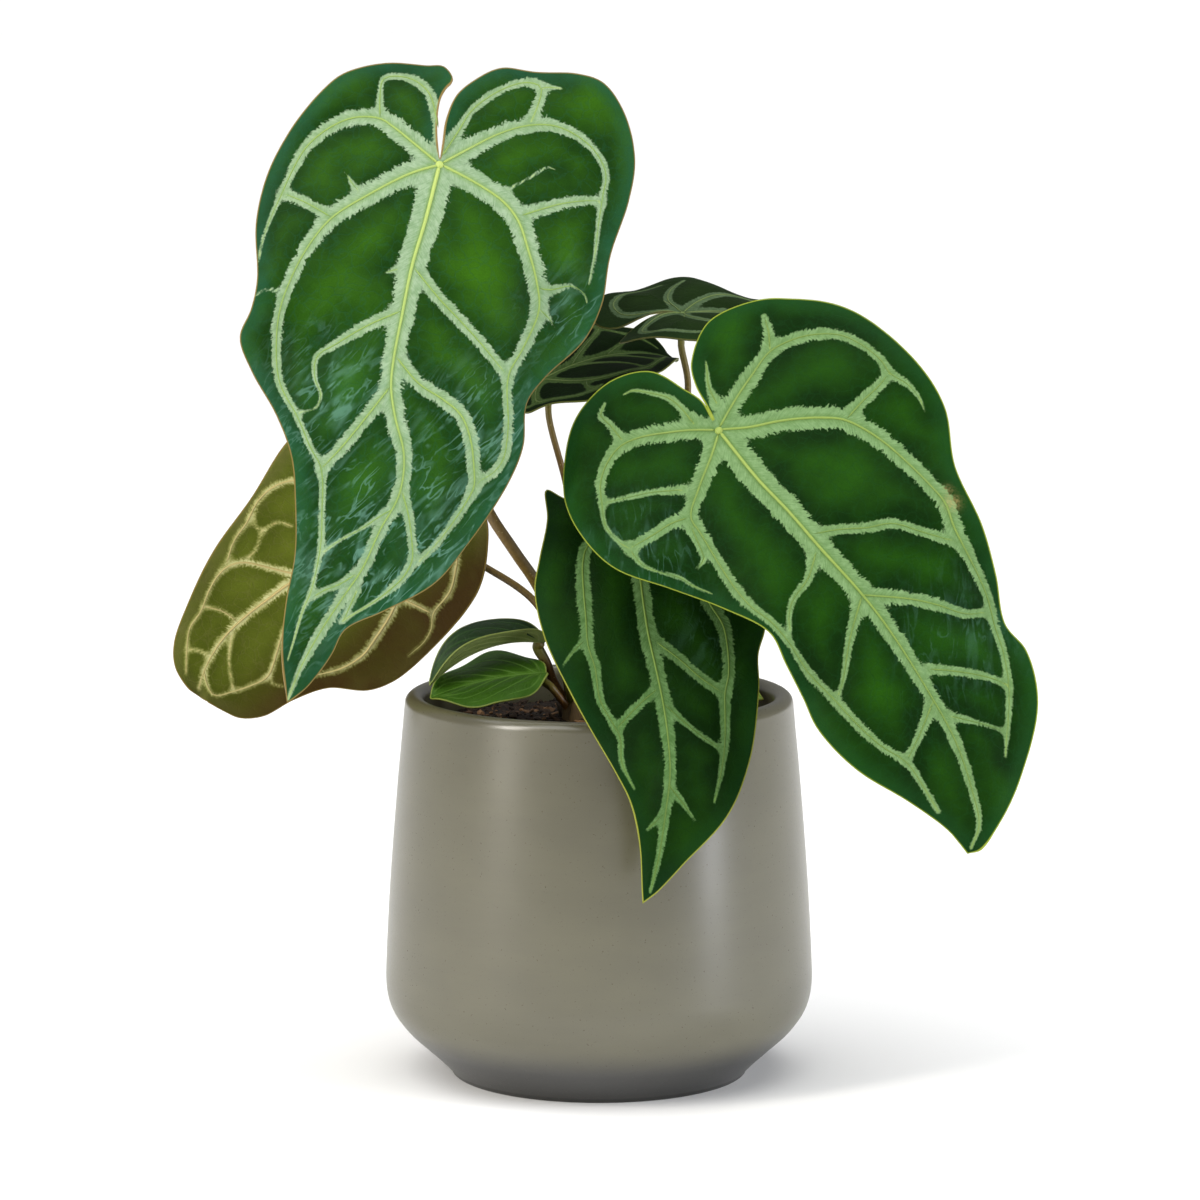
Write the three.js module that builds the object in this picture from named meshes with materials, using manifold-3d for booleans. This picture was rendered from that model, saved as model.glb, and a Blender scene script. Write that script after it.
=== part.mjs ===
// Potted anthurium magnificum: a tapered stoneware pot, its soil, the fused leaf stems and nine leaves.
// Units are millimetres. +Z is up, -Y faces the viewer, and the origin is the middle of the pot's underside.
import * as THREE from 'three';
import Module from 'manifold-3d';

const manifold = await Module();
manifold.setup();

// Pot: driving sizes
const potHeight = 143.6;
const potBellyRadius = 80;
const potBaseRadius = 55;
const potLipRadius = 3.7;
const potLipCentreRadius = 68.8;
const potWall = 7.4;
const potFloor = 8;
const potSegments = 48;

// Soil
const soilTop = 130.5;
const soilMound = 2.5;
const soilLump = 0.7;
const soilRings = 7;
const fitGap = 0.3;

// Crown: the short stem in the soil that every leaf stem grows from
const crownAxis = [-5, 4];
const crownRadius = 9.5;
const crownFoot = 92;
const crownShoulder = 137;
const crownTop = 143;

// Leaves
const bladeThickness = 0.9;
const stemSides = 8;
const stemSteps = 19;

// Eye point from which the leaf outlines below were read, in millimetres and degrees.
// An outline point is [right, down] in a square frame 1200 wide, whose middle is on the pot's axis.
const eye = new THREE.Vector3(0, -1831, 439.2);
const eyePitch = THREE.MathUtils.degToRad(8.11);
const eyeFocal = 4969;
const frameMiddle = [599.05, 600];

// Leaves whose outline is read in the frame. Each half runs from the notch behind the stem to the tip.
// depth is the stem joint's distance behind the pot's axis, and lean how far the blade's plane goes back
// for each millimetre to the right and for each millimetre up. arch, camber and wave bend the blade
// towards the eye, and a bump is [right, down, radius, height].
const readLeaves = {
  leaf_a: {
    joint: [439.5, 165],
    depth: -30,
    lean: [0.1, 0.317],
    left: [[440, 159.3], [437.5, 144], [437, 122], [440, 100], [446, 88], [453, 80], [444, 67], [427, 66],
      [386, 63.4], [345, 73], [322.6, 90], [291, 129], [267, 176], [256, 225], [257, 280], [251, 309],
      [240, 337], [252, 372], [276, 415], [291, 456], [295, 500], [295, 555], [286, 602], [281.5, 650],
      [287, 703.6]],
    right: [[440, 159.3], [442.7, 144], [446, 120], [456, 96], [475, 80], [501, 68.5], [536, 72.5],
      [577, 73.8], [603, 83], [624, 112], [634.5, 160], [629, 200], [610, 257], [602, 305], [584, 341],
      [545, 378], [526.5, 404], [523, 447], [508, 484], [468, 544], [434, 584], [385, 611], [345, 630],
      [331, 655], [308, 686], [287, 703.6]],
    midrib: [[439.5, 165], [425, 222], [402, 310], [391, 387], [404, 456], [380, 530], [341, 599],
      [300, 669], [287, 703.6]],
    lobes: [[372, 125], [530, 125]],
    arch: 18,
    camber: 12,
    wave: { height: 3.6, length: 74, phase: 0.6 },
    bumps: [[575, 320, 16, -7], [505, 400, 14, 6], [262, 300, 14, 5], [250, 360, 14, -4], [345, 560, 18, 5]],
    stemThickness: 3.6,
  },
  leaf_b: {
    joint: [719, 431],
    depth: -70,
    lean: [-0.05, 0.28],
    left: [[713.5, 420], [702, 401], [685, 390], [650, 371.6], [609.5, 382], [576, 418], [565, 460],
      [566, 505], [586, 542], [616, 569.5], [670.5, 589], [725, 609.5], [769.5, 633], [785.5, 664],
      [803, 698], [818, 729.5], [855.8, 769.5], [910.6, 803], [950, 832], [967.4, 853.8]],
    right: [[713.5, 420], [706, 405], [695.8, 386], [691.6, 363], [708, 323], [754.8, 300.8],
      [792.7, 299], [830.6, 303.5], [863, 316.5], [918, 363.5], [945, 408], [955, 466], [982, 525],
      [996, 575], [1005, 624], [1027, 652], [1038, 702], [1022, 773.7], [1003, 817], [981, 850],
      [967.4, 853.8]],
    midrib: [[719, 431], [757.5, 479], [820.7, 548.6], [880, 612], [939.4, 699], [975, 774], [979, 814],
      [967.4, 853.8]],
    lobes: [[632, 440], [770, 358]],
    arch: 18,
    camber: 10,
    wave: { height: 3.2, length: 66, phase: 2.4 },
    bumps: [[640, 575, 18, 9], [600, 400, 20, -6], [1000, 640, 16, -5], [790, 690, 14, -5]],
    stemThickness: 3.4,
  },
  leaf_c: {
    joint: [635, 532],
    depth: -55,
    lean: [0.05, 0.41],
    left: [[630, 522], [605, 515], [585, 507], [563, 498], [546, 490], [547, 520], [539, 560],
      [534.5, 590], [545, 639], [577, 706], [616, 774], [631, 805], [640, 850], [642.5, 903.6]],
    right: [[630, 522], [640, 513], [660, 506], [690, 508], [720, 520], [748, 545], [763, 580],
      [765, 628], [758, 655], [759, 690], [750, 760], [727, 817], [684, 864], [656, 893], [642.5, 903.6]],
    midrib: [[635, 532], [647, 631], [668, 738.6], [668, 790], [652, 875], [642.5, 903.6]],
    lobes: [[583, 545], [690, 552]],
    arch: 9,
    camber: 6,
    wave: { height: 2.2, length: 52, phase: 1.2 },
    bumps: [[546, 492, 12, -5], [620, 780, 12, 3]],
    stemThickness: 3.2,
  },
  leaf_d: {
    joint: [420, 540],
    depth: -5,
    lean: [-0.315, -0.35],
    left: [[428, 528], [424, 495], [410, 458], [385, 430], [352, 415], [318, 418], [287, 442],
      [251, 498], [214, 550], [190, 598], [174, 643], [175, 667], [188, 688], [201, 698]],
    right: [[428, 528], [440, 507], [458, 494], [475, 500], [487, 521], [488, 547], [482, 582],
      [471, 604], [436, 645], [396, 680], [368, 690.5], [329, 688], [294, 700], [264, 716], [240, 718],
      [225, 712], [201, 698]],
    midrib: [[420, 540], [345, 563], [290, 583], [247, 615], [212, 654], [201, 698]],
    lobes: [[368, 478], [452, 548]],
    arch: -12,
    camber: -7,
    wave: { height: 2.6, length: 58, phase: 0 },
    bumps: [[330, 690, 14, -4], [190, 600, 12, 3]],
    stemThickness: 2.6,
  },
};

// Leaves given by size. joint and tip are points in space, face is the way the upper side looks.
// arch is how far the midrib turns down over its length and fold how far each half turns up, in degrees.
const sizedLeaves = {
  leaf_e: {
    outline: 'closedHeart',
    joint: [31, 12, 284],
    tip: [95.8, 49.4, 253.8],
    face: [0.05, -0.25, 1],
    halfWidth: 32,
    arch: 56,
    fold: 18,
    camber: 8,
    wave: { height: 1.8, length: 40, phase: 0.5 },
    stemThickness: 2.5,
  },
  leaf_f: {
    outline: 'heart',
    joint: [-21, 27, 258],
    tip: [29, 62, 262],
    face: [0.05, -0.5, 1],
    halfWidth: 28,
    arch: 46,
    fold: 17,
    camber: 4,
    wave: { height: 1.6, length: 34, phase: 2 },
    stemThickness: 2.4,
  },
  leaf_g: {
    outline: 'egg',
    joint: [-21.8, 6.5, 161.5],
    tip: [-63, -4, 146.5],
    face: [-0.1, -0.3, 1],
    halfWidth: 13,
    arch: 62,
    fold: 34,
    camber: 1,
    wave: { height: 0.8, length: 30, phase: 0 },
    stemThickness: 2.6,
  },
  leaf_h: {
    outline: 'egg',
    joint: [-20.8, -2, 151],
    tip: [-63, -5, 142],
    face: [-0.05, -0.42, 1],
    halfWidth: 18.5,
    arch: 24,
    fold: 13,
    camber: 4.5,
    wave: { height: 1.2, length: 26, phase: 1 },
    stemThickness: 2.4,
  },
  leaf_i: {
    outline: 'egg',
    joint: [17, 14, 145],
    tip: [61.8, 14, 138.5],
    face: [0.1, -0.4, 1],
    halfWidth: 12,
    arch: 24,
    fold: 8,
    camber: 1.5,
    wave: { height: 0.6, length: 26, phase: 2 },
    stemThickness: 2.2,
  },
};

// Half outlines of the sized leaves as [across, along] shares of half width and length, from notch to tip,
// with the middle of their lobe: heart and closedHeart for grown leaves and egg for the youngest ones
const sizedOutlines = {
  heart: {
    margin: [[0, -0.03], [0.1, -0.14], [0.28, -0.24], [0.52, -0.24], [0.74, -0.12], [0.92, 0.02],
      [1, 0.17], [0.97, 0.34], [0.82, 0.54], [0.55, 0.76], [0.24, 0.925], [0, 1]],
    lobe: [0.45, -0.03],
  },
  closedHeart: {
    margin: [[0, -0.03], [0.03, -0.1], [0.06, -0.2], [0.14, -0.3], [0.34, -0.36], [0.62, -0.33],
      [0.88, -0.18], [1, 0], [1, 0.17], [0.94, 0.36], [0.8, 0.55], [0.55, 0.76], [0.24, 0.925], [0, 1]],
    lobe: [0.5, -0.06],
  },
  egg: {
    margin: [[0, -0.03], [0.18, -0.03], [0.38, 0.01], [0.66, 0.09], [0.9, 0.22], [1, 0.36],
      [0.94, 0.54], [0.74, 0.73], [0.45, 0.88], [0.18, 0.965], [0, 1]],
    lobe: [0.45, 0.16],
  },
};

// Stem routes from the crown to behind each blade, as [right, down, depth]
const stemRoutes = {
  leaf_a: [[576, 713, 2], [567, 665, -4], [540, 590, -18], [515, 552, -28], [489, 512, -36],
    [468, 465, -38], [453, 390, -30], [446, 290, -18], [442, 205, -10]],
  leaf_b: [[592, 712, 2], [602, 645, -6], [628, 585, -22], [668, 512, -42], [702, 452, -57]],
  leaf_c: [[588, 713, 1], [599, 640, -8], [616, 588, -26], [629, 552, -41]],
  leaf_d: [[573, 712, 6], [560, 650, 6], [535, 602, 6], [485, 567, 8], [452, 550, 10], [432, 542, 9]],
  leaf_e: [[594, 710, 7], [618, 640, 10], [668, 500, 14], [688, 388, 14], [681, 342, 12]],
  leaf_f: [[588, 707, 9], [583, 620, 13], [577, 540, 18], [565, 480, 21], [549, 418, 26]],
  leaf_g: [[576, 714, 6], [563, 698, 7], [553, 680, 8], [547, 664, 8]],
  leaf_h: [[573, 714, 1], [561, 699, -1], [551, 687, -2]],
  leaf_i: [[598, 710, 8], [618, 699, 10], [643, 689, 13]],
};
const stemFlare = 1.5;
const stemNeck = 5;

const colours = {
  pot: 0x7d7a66,
  soil: 0x2e2119,
  stems: 0x6b5a33,
  leaf: 0x2c5a2a,
  leafUnder: 0x6d6a2e,
  leafYoung: 0x5d8434,
};

// Turns a point of the frame into the direction of its sight line.
function sightLine([right, down]) {
  const forward = new THREE.Vector3(0, Math.cos(eyePitch), -Math.sin(eyePitch));
  const up = new THREE.Vector3(0, Math.sin(eyePitch), Math.cos(eyePitch));
  const line = new THREE.Vector3(right - frameMiddle[0], 0, 0);
  line.addScaledVector(up, frameMiddle[1] - down);
  line.addScaledVector(forward, eyeFocal);
  return line.normalize();
}

// Finds where a sight line crosses the vertical plane at a given depth.
function pointAtDepth(mark, depth) {
  const line = sightLine(mark);
  return eye.clone().addScaledVector(line, (depth - eye.y) / line.y);
}

// Names a place, so that points closer than a thousandth of a millimetre are welded.
function weldKey(values) {
  return values.map((value) => Math.round(value * 1000)).join();
}

function smoothCurve(points) {
  const vectors = points.map(([x, y]) => new THREE.Vector3(x, y, 0));
  return new THREE.CatmullRomCurve3(vectors, false, 'centripetal');
}

function marginWave(leaf, share, run) {
  return leaf.wave.height * share * share * Math.sin((2 * Math.PI * run) / leaf.wave.length + leaf.wave.phase);
}

// Placing function of a read leaf: a frame point, its share from midrib to margin and its run along the margin.
function readPlacing(leaf) {
  const joint = pointAtDepth(leaf.joint, leaf.depth);
  const normal = new THREE.Vector3(-leaf.lean[0], 1, -leaf.lean[1]).normalize();
  const onPlane = (mark) => {
    const line = sightLine(mark);
    const reach = joint.clone().sub(eye).dot(normal) / line.dot(normal);
    return eye.clone().addScaledVector(line, reach);
  };
  const tip = onPlane(leaf.left[leaf.left.length - 1]);
  const length = tip.distanceTo(joint);
  const along = tip.clone().sub(joint).normalize();
  const across = along.clone().cross(normal);
  const offsets = [...leaf.left, ...leaf.right].map((mark) => Math.abs(onPlane(mark).sub(joint).dot(across)));
  const halfWidth = Math.max(...offsets);
  const bumps = leaf.bumps.map(([right, down, radius, height]) => (
    { centre: onPlane([right, down]), radius, height }));
  return (mark, share, run) => {
    const point = onPlane(mark);
    const offset = point.clone().sub(joint);
    const v = offset.dot(along) / length;
    const u = offset.dot(across) / halfWidth;
    let lift = 4 * leaf.arch * v * (1 - v) - leaf.camber * u * u;
    for (const bump of bumps) {
      const distance = point.distanceTo(bump.centre) / bump.radius;
      lift += bump.height * Math.exp(-distance * distance);
    }
    lift += marginWave(leaf, share, run);
    return point.addScaledVector(sightLine(mark), -lift);
  };
}

// Placing function of a sized leaf: [across, along] in millimetres, bent along an arc and folded at the midrib.
function sizedPlacing(leaf) {
  const joint = new THREE.Vector3(...leaf.joint);
  const chord = new THREE.Vector3(...leaf.tip).sub(joint);
  const arch = THREE.MathUtils.degToRad(leaf.arch);
  const fold = THREE.MathUtils.degToRad(leaf.fold);
  const across = chord.clone().cross(new THREE.Vector3(...leaf.face)).normalize();
  const radius = chord.length() / (2 * Math.sin(arch / 2));
  const start = chord.clone().normalize().applyAxisAngle(across, arch / 2);
  const up = across.clone().cross(start).normalize();
  return ([u, v], share, run) => {
    const turn = v / radius;
    const ahead = start.clone().multiplyScalar(Math.cos(turn)).addScaledVector(up, -Math.sin(turn));
    const normal = across.clone().cross(ahead);
    const side = u / leaf.halfWidth;
    const lift = Math.abs(u) * Math.sin(fold) - leaf.camber * side * side + marginWave(leaf, share, run);
    return joint.clone()
      .addScaledVector(start, radius * Math.sin(turn))
      .addScaledVector(up, -radius * (1 - Math.cos(turn)))
      .addScaledVector(across, u * Math.cos(fold))
      .addScaledVector(normal, lift);
  };
}

function sizedLength(leaf) {
  const arch = THREE.MathUtils.degToRad(leaf.arch);
  const chord = new THREE.Vector3(...leaf.tip).distanceTo(new THREE.Vector3(...leaf.joint));
  return (chord * arch) / (2 * Math.sin(arch / 2));
}

// Columns of one half blade. Its inner ends go from the joint out to the lobe's middle and back, and on
// down the midrib, while its outer ends follow the margin from the notch to the tip.
function halfColumns(half, counts) {
  const margin = smoothCurve(half.margin);
  const midrib = smoothCurve(half.midrib);
  const joint = midrib.getPoint(0);
  const lobe = new THREE.Vector3(half.lobe[0], half.lobe[1], 0);
  const { spine, turn, body } = counts;
  const [innerEnd, turnEnd, shoulder] = half.shares;
  const stretches = [
    { steps: spine, from: 0, to: innerEnd, inner: (k) => joint.clone().lerp(lobe, k) },
    { steps: turn, from: innerEnd, to: turnEnd, inner: () => lobe.clone() },
    { steps: spine, from: turnEnd, to: shoulder, inner: (k) => lobe.clone().lerp(joint, k) },
    { steps: body, from: shoulder, to: 1, inner: (k) => midrib.getPointAt(k) },
  ];
  const columns = [];
  for (const [order, stretch] of stretches.entries()) {
    for (let step = order === 0 ? 0 : 1; step <= stretch.steps; step += 1) {
      const k = step / stretch.steps;
      const share = THREE.MathUtils.lerp(stretch.from, stretch.to, k);
      columns.push({ inner: stretch.inner(k), outer: margin.getPointAt(share), share });
    }
  }
  return columns;
}

// Lays a blade's middle sheet: welded points and triangles that face the eye, or up.
function bladeSheet(halves, counts, place, marginScale) {
  const points = [];
  const triangles = [];
  const known = new Map();
  const pointAt = (flat, share, run) => {
    const key = weldKey([flat.x, flat.y]);
    if (!known.has(key)) {
      known.set(key, points.length);
      points.push(place([flat.x, flat.y], share, run));
    }
    return known.get(key);
  };
  const addTriangle = (a, b, c, mirrored) => {
    if (a !== b && b !== c && c !== a) {
      triangles.push(mirrored ? [a, c, b] : [a, b, c]);
    }
  };
  for (const half of halves) {
    const columns = halfColumns(half, counts);
    const length = smoothCurve(half.margin).getLength() * marginScale;
    const grid = columns.map((column) => {
      const line = [];
      for (let row = 0; row <= counts.rows; row += 1) {
        const t = row / counts.rows;
        line.push(pointAt(column.inner.clone().lerp(column.outer, t), t, column.share * length));
      }
      return line;
    });
    for (let i = 0; i + 1 < grid.length; i += 1) {
      for (let j = 0; j < counts.rows; j += 1) {
        addTriangle(grid[i][j], grid[i][j + 1], grid[i + 1][j + 1], half.mirrored);
        addTriangle(grid[i][j], grid[i + 1][j + 1], grid[i + 1][j], half.mirrored);
      }
    }
  }
  return { points, triangles };
}

// Gives a sheet its thickness: both faces split alike, and a rim along the free edges.
function thicken({ points, triangles }, thickness) {
  const normals = points.map(() => new THREE.Vector3());
  const edges = new Map();
  for (const triangle of triangles) {
    const [a, b, c] = triangle.map((index) => points[index]);
    const normal = b.clone().sub(a).cross(c.clone().sub(a));
    for (const [order, index] of triangle.entries()) {
      normals[index].add(normal);
      const next = triangle[(order + 1) % 3];
      edges.set(`${index},${next}`, [index, next]);
    }
  }
  const count = points.length;
  const positions = [];
  for (const side of [0.5, -0.5]) {
    for (const [index, point] of points.entries()) {
      const moved = point.clone().addScaledVector(normals[index].normalize(), side * thickness);
      positions.push(moved.x, moved.y, moved.z);
    }
  }
  const indices = [];
  for (const [a, b, c] of triangles) {
    indices.push(a, b, c, a + count, c + count, b + count);
  }
  for (const [a, b] of edges.values()) {
    if (!edges.has(`${b},${a}`)) {
      indices.push(b, a, a + count, b, a + count, b + count);
    }
  }
  const geometry = new THREE.BufferGeometry();
  geometry.setAttribute('position', new THREE.Float32BufferAttribute(positions, 3));
  geometry.setIndex(indices);
  geometry.computeVertexNormals();
  return geometry;
}

// Middle sheet's joint point and the way its face looks there.
function jointFace(place, joint, step) {
  const centre = place(joint, 0, 0);
  const right = place([joint[0] + step, joint[1]], 0, 0).sub(centre);
  const down = place([joint[0], joint[1] + step], 0, 0).sub(centre);
  return { centre, normal: right.cross(down).normalize() };
}

function sweepStem(route, thickness) {
  const curve = new THREE.CatmullRomCurve3(route, false, 'centripetal');
  const frames = curve.computeFrenetFrames(stemSteps, false);
  const positions = [];
  for (let step = 0; step <= stemSteps; step += 1) {
    const share = step / stemSteps;
    const flare = 1 + (stemFlare - 1) * (1 - share) ** 3;
    const radius = (thickness / 2) * flare;
    const centre = curve.getPointAt(share);
    for (let side = 0; side < stemSides; side += 1) {
      const angle = (2 * Math.PI * side) / stemSides;
      const point = centre.clone()
        .addScaledVector(frames.normals[step], radius * Math.cos(angle))
        .addScaledVector(frames.binormals[step], radius * Math.sin(angle));
      positions.push(point.x, point.y, point.z);
    }
  }
  const first = curve.getPointAt(0);
  const last = curve.getPointAt(1);
  const startHub = positions.length / 3;
  positions.push(first.x, first.y, first.z, last.x, last.y, last.z);
  const indices = [];
  for (let side = 0; side < stemSides; side += 1) {
    const next = (side + 1) % stemSides;
    for (let step = 0; step < stemSteps; step += 1) {
      const a = step * stemSides + side;
      const b = step * stemSides + next;
      indices.push(a, b, b + stemSides, a, b + stemSides, a + stemSides);
    }
    const end = stemSteps * stemSides;
    indices.push(startHub, next, side, startHub + 1, end + side, end + next);
  }
  const geometry = new THREE.BufferGeometry();
  geometry.setAttribute('position', new THREE.Float32BufferAttribute(positions, 3));
  geometry.setIndex(indices);
  return geometry;
}

function latheSolid(profile, segments) {
  const points = profile.map(([radius, height]) => new THREE.Vector2(radius, height));
  const geometry = new THREE.LatheGeometry(points, segments);
  geometry.rotateX(Math.PI / 2);
  return geometry;
}

function toManifold(geometry) {
  const source = geometry.index ? geometry : geometry.clone();
  const position = source.getAttribute('position');
  const known = new Map();
  const vertices = [];
  const remap = [];
  for (let i = 0; i < position.count; i += 1) {
    const key = weldKey([position.getX(i), position.getY(i), position.getZ(i)]);
    if (!known.has(key)) {
      known.set(key, vertices.length / 3);
      vertices.push(position.getX(i), position.getY(i), position.getZ(i));
    }
    remap.push(known.get(key));
  }
  const triangles = [];
  const index = source.index.array;
  for (let i = 0; i < index.length; i += 3) {
    const [a, b, c] = [remap[index[i]], remap[index[i + 1]], remap[index[i + 2]]];
    if (a !== b && b !== c && c !== a) {
      triangles.push(a, b, c);
    }
  }
  return new manifold.Manifold(new manifold.Mesh({
    numProp: 3,
    vertProperties: new Float32Array(vertices),
    triVerts: new Uint32Array(triangles),
  }));
}

function toGeometry(solid) {
  const mesh = solid.getMesh();
  const geometry = new THREE.BufferGeometry();
  geometry.setAttribute('position', new THREE.Float32BufferAttribute(mesh.vertProperties, 3));
  geometry.setIndex(Array.from(mesh.triVerts));
  geometry.computeVertexNormals();
  return geometry;
}

function arcPoints(centre, radius, fromDegrees, toDegrees, steps) {
  const points = [];
  for (let step = 0; step <= steps; step += 1) {
    const angle = THREE.MathUtils.degToRad(THREE.MathUtils.lerp(fromDegrees, toDegrees, step / steps));
    points.push([centre[0] + radius * Math.cos(angle), centre[1] + radius * Math.sin(angle)]);
  }
  return points;
}

// Inside of the pot: straight from the floor's corner to the lip.
const potCavityFoot = 62;
const potCavityCorner = 14;

function cavityRadius(height) {
  const lipInside = potLipCentreRadius - potLipRadius;
  const bellyInside = potBellyRadius - potWall;
  const share = THREE.MathUtils.clamp((height - 40) / (potHeight - potLipRadius - 40), 0, 1);
  return THREE.MathUtils.lerp(bellyInside, lipInside, share);
}

function potGeometry() {
  const lipCentre = [potLipCentreRadius, potHeight - potLipRadius];
  const outside = [
    [0, 0], [potBaseRadius, 0], [potBaseRadius + 0.7, 1.2], [59.4, 5], [67, 12], [71.4, 16], [74.8, 20],
    [77.4, 24], [79.1, 28.5], [potBellyRadius, 34.5], [79.9, 42], [78.3, 72], [75.3, 110], [73.4, 130],
  ];
  const inside = [
    [cavityRadius(90), 90], [cavityRadius(40), 40], [71.2, 30], [67.5, potCavityCorner + 6],
    [potCavityFoot, potFloor + 1.5], [potCavityFoot - 4, potFloor], [0, potFloor],
  ];
  return latheSolid([...outside, ...arcPoints(lipCentre, potLipRadius, 0, 180, 8), ...inside], potSegments);
}

function soilHeight(radius, angle) {
  const mound = soilMound * Math.exp(-((radius / 26) ** 2));
  const lumps = Math.sin(radius * 0.35 + 3 * angle) + Math.sin(radius * 0.21 - 5 * angle + 1.3);
  return soilTop + mound + soilLump * lumps * Math.min(1, radius / 10);
}

function soilGeometry() {
  const edge = cavityRadius(soilTop) - fitGap;
  const gap = fitGap;
  const profile = [
    [0, potFloor + gap], [potCavityFoot - 5, potFloor + gap], [66.6, potCavityCorner + 6], [70.6, 31],
    [cavityRadius(41) - gap, 41], [cavityRadius(90) - gap, 90],
  ];
  for (let ring = soilRings; ring >= 0; ring -= 1) {
    profile.push([(edge * ring) / soilRings, soilTop]);
  }
  const geometry = latheSolid(profile, potSegments);
  const position = geometry.getAttribute('position');
  for (let i = 0; i < position.count; i += 1) {
    if (position.getZ(i) > soilTop - 0.01) {
      const radius = Math.hypot(position.getX(i), position.getY(i));
      const angle = Math.atan2(position.getY(i), position.getX(i));
      position.setZ(i, soilHeight(radius, angle));
    }
  }
  const hole = crownSolid(crownRadius + fitGap, crownFoot - fitGap, soilTop + 20);
  return toGeometry(toManifold(geometry).subtract(hole));
}

function crownSolid(radius, foot, top) {
  const solid = manifold.Manifold.cylinder(top - foot, radius, radius, 24);
  return solid.translate([crownAxis[0], crownAxis[1], foot]);
}

function crownBody() {
  const height = crownTop - crownShoulder;
  const cap = manifold.Manifold.cylinder(height, crownRadius, crownRadius * 0.55, 24);
  return crownSolid(crownRadius, crownFoot, crownShoulder)
    .add(cap.translate([crownAxis[0], crownAxis[1], crownShoulder]));
}

function makeMesh(name, geometry, colour, roughness) {
  const material = new THREE.MeshStandardMaterial({ color: colour, roughness, metalness: 0 });
  material.side = THREE.DoubleSide;
  const mesh = new THREE.Mesh(geometry, material);
  mesh.name = name;
  return mesh;
}

function readBlade(leaf, counts) {
  const place = readPlacing(leaf);
  const shares = leaf.shares ?? [0.13, 0.3, 0.46];
  const halves = [
    { margin: leaf.left, midrib: leaf.midrib, lobe: leaf.lobes[0], shares, mirrored: false },
    { margin: leaf.right, midrib: leaf.midrib, lobe: leaf.lobes[1], shares, mirrored: true },
  ];
  const frameScale = Math.abs(eye.y) / eyeFocal;
  const sheet = bladeSheet(halves, counts, place, frameScale);
  const face = jointFace(place, leaf.joint, 3);
  face.normal.negate();
  return { sheet, face };
}

function sizedBlade(leaf, counts) {
  const place = sizedPlacing(leaf);
  const length = sizedLength(leaf);
  const outline = sizedOutlines[leaf.outline];
  const shares = [0.14, 0.26, 0.42];
  const halves = [1, -1].map((side) => {
    const toFlat = ([across, along]) => [side * across * leaf.halfWidth, along * length];
    return {
      margin: outline.margin.map(toFlat),
      midrib: [[0, 0], [0, length / 2], [0, length]],
      lobe: toFlat(outline.lobe),
      shares,
      mirrored: side > 0,
    };
  });
  const sheet = bladeSheet(halves, counts, place, 1);
  const face = jointFace(place, [0, 0], 1.5);
  return { sheet, face };
}

const largeBlade = { spine: 6, turn: 8, body: 26, rows: 5 };
const middleBlade = { spine: 5, turn: 6, body: 20, rows: 4 };
const youngBlade = { spine: 3, turn: 4, body: 10, rows: 3 };

function stemSolid(name, leaf, face) {
  const reach = bladeThickness / 2 + fitGap + 0.15;
  const back = face.normal.clone().negate();
  const route = stemRoutes[name].map(([right, down, depth]) => pointAtDepth([right, down], depth));
  route.push(face.centre.clone().addScaledVector(back, reach + stemNeck));
  route.push(face.centre.clone().addScaledVector(back, reach));
  return toManifold(sweepStem(route, leaf.stemThickness));
}

function buildPlant() {
  const plant = new THREE.Group();
  plant.name = 'potted_anthurium_magnificum';
  plant.add(makeMesh('pot', potGeometry(), colours.pot, 0.6));
  plant.add(makeMesh('soil', soilGeometry(), colours.soil, 0.95));
  let stems = crownBody();
  const blades = [];
  for (const [name, leaf] of Object.entries(readLeaves)) {
    const counts = name === 'leaf_a' || name === 'leaf_b' ? largeBlade : middleBlade;
    const { sheet, face } = readBlade(leaf, counts);
    const colour = name === 'leaf_d' ? colours.leafUnder : colours.leaf;
    blades.push(makeMesh(name, thicken(sheet, bladeThickness), colour, 0.7));
    stems = stems.add(stemSolid(name, leaf, face));
  }
  for (const [name, leaf] of Object.entries(sizedLeaves)) {
    const counts = name === 'leaf_e' || name === 'leaf_f' ? middleBlade : youngBlade;
    const { sheet, face } = sizedBlade(leaf, counts);
    const young = name === 'leaf_h' || name === 'leaf_i';
    blades.push(makeMesh(name, thicken(sheet, bladeThickness), young ? colours.leafYoung : colours.leaf, 0.7));
    stems = stems.add(stemSolid(name, leaf, face));
  }
  plant.add(makeMesh('stems', toGeometry(stems), colours.stems, 0.6));
  plant.add(...blades);
  return plant;
}

export default buildPlant();
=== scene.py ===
import math
import random
from functools import partial

import bmesh
import bpy
import numpy as np
from mathutils import Matrix, Vector, noise
from mathutils.bvhtree import BVHTree


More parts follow.
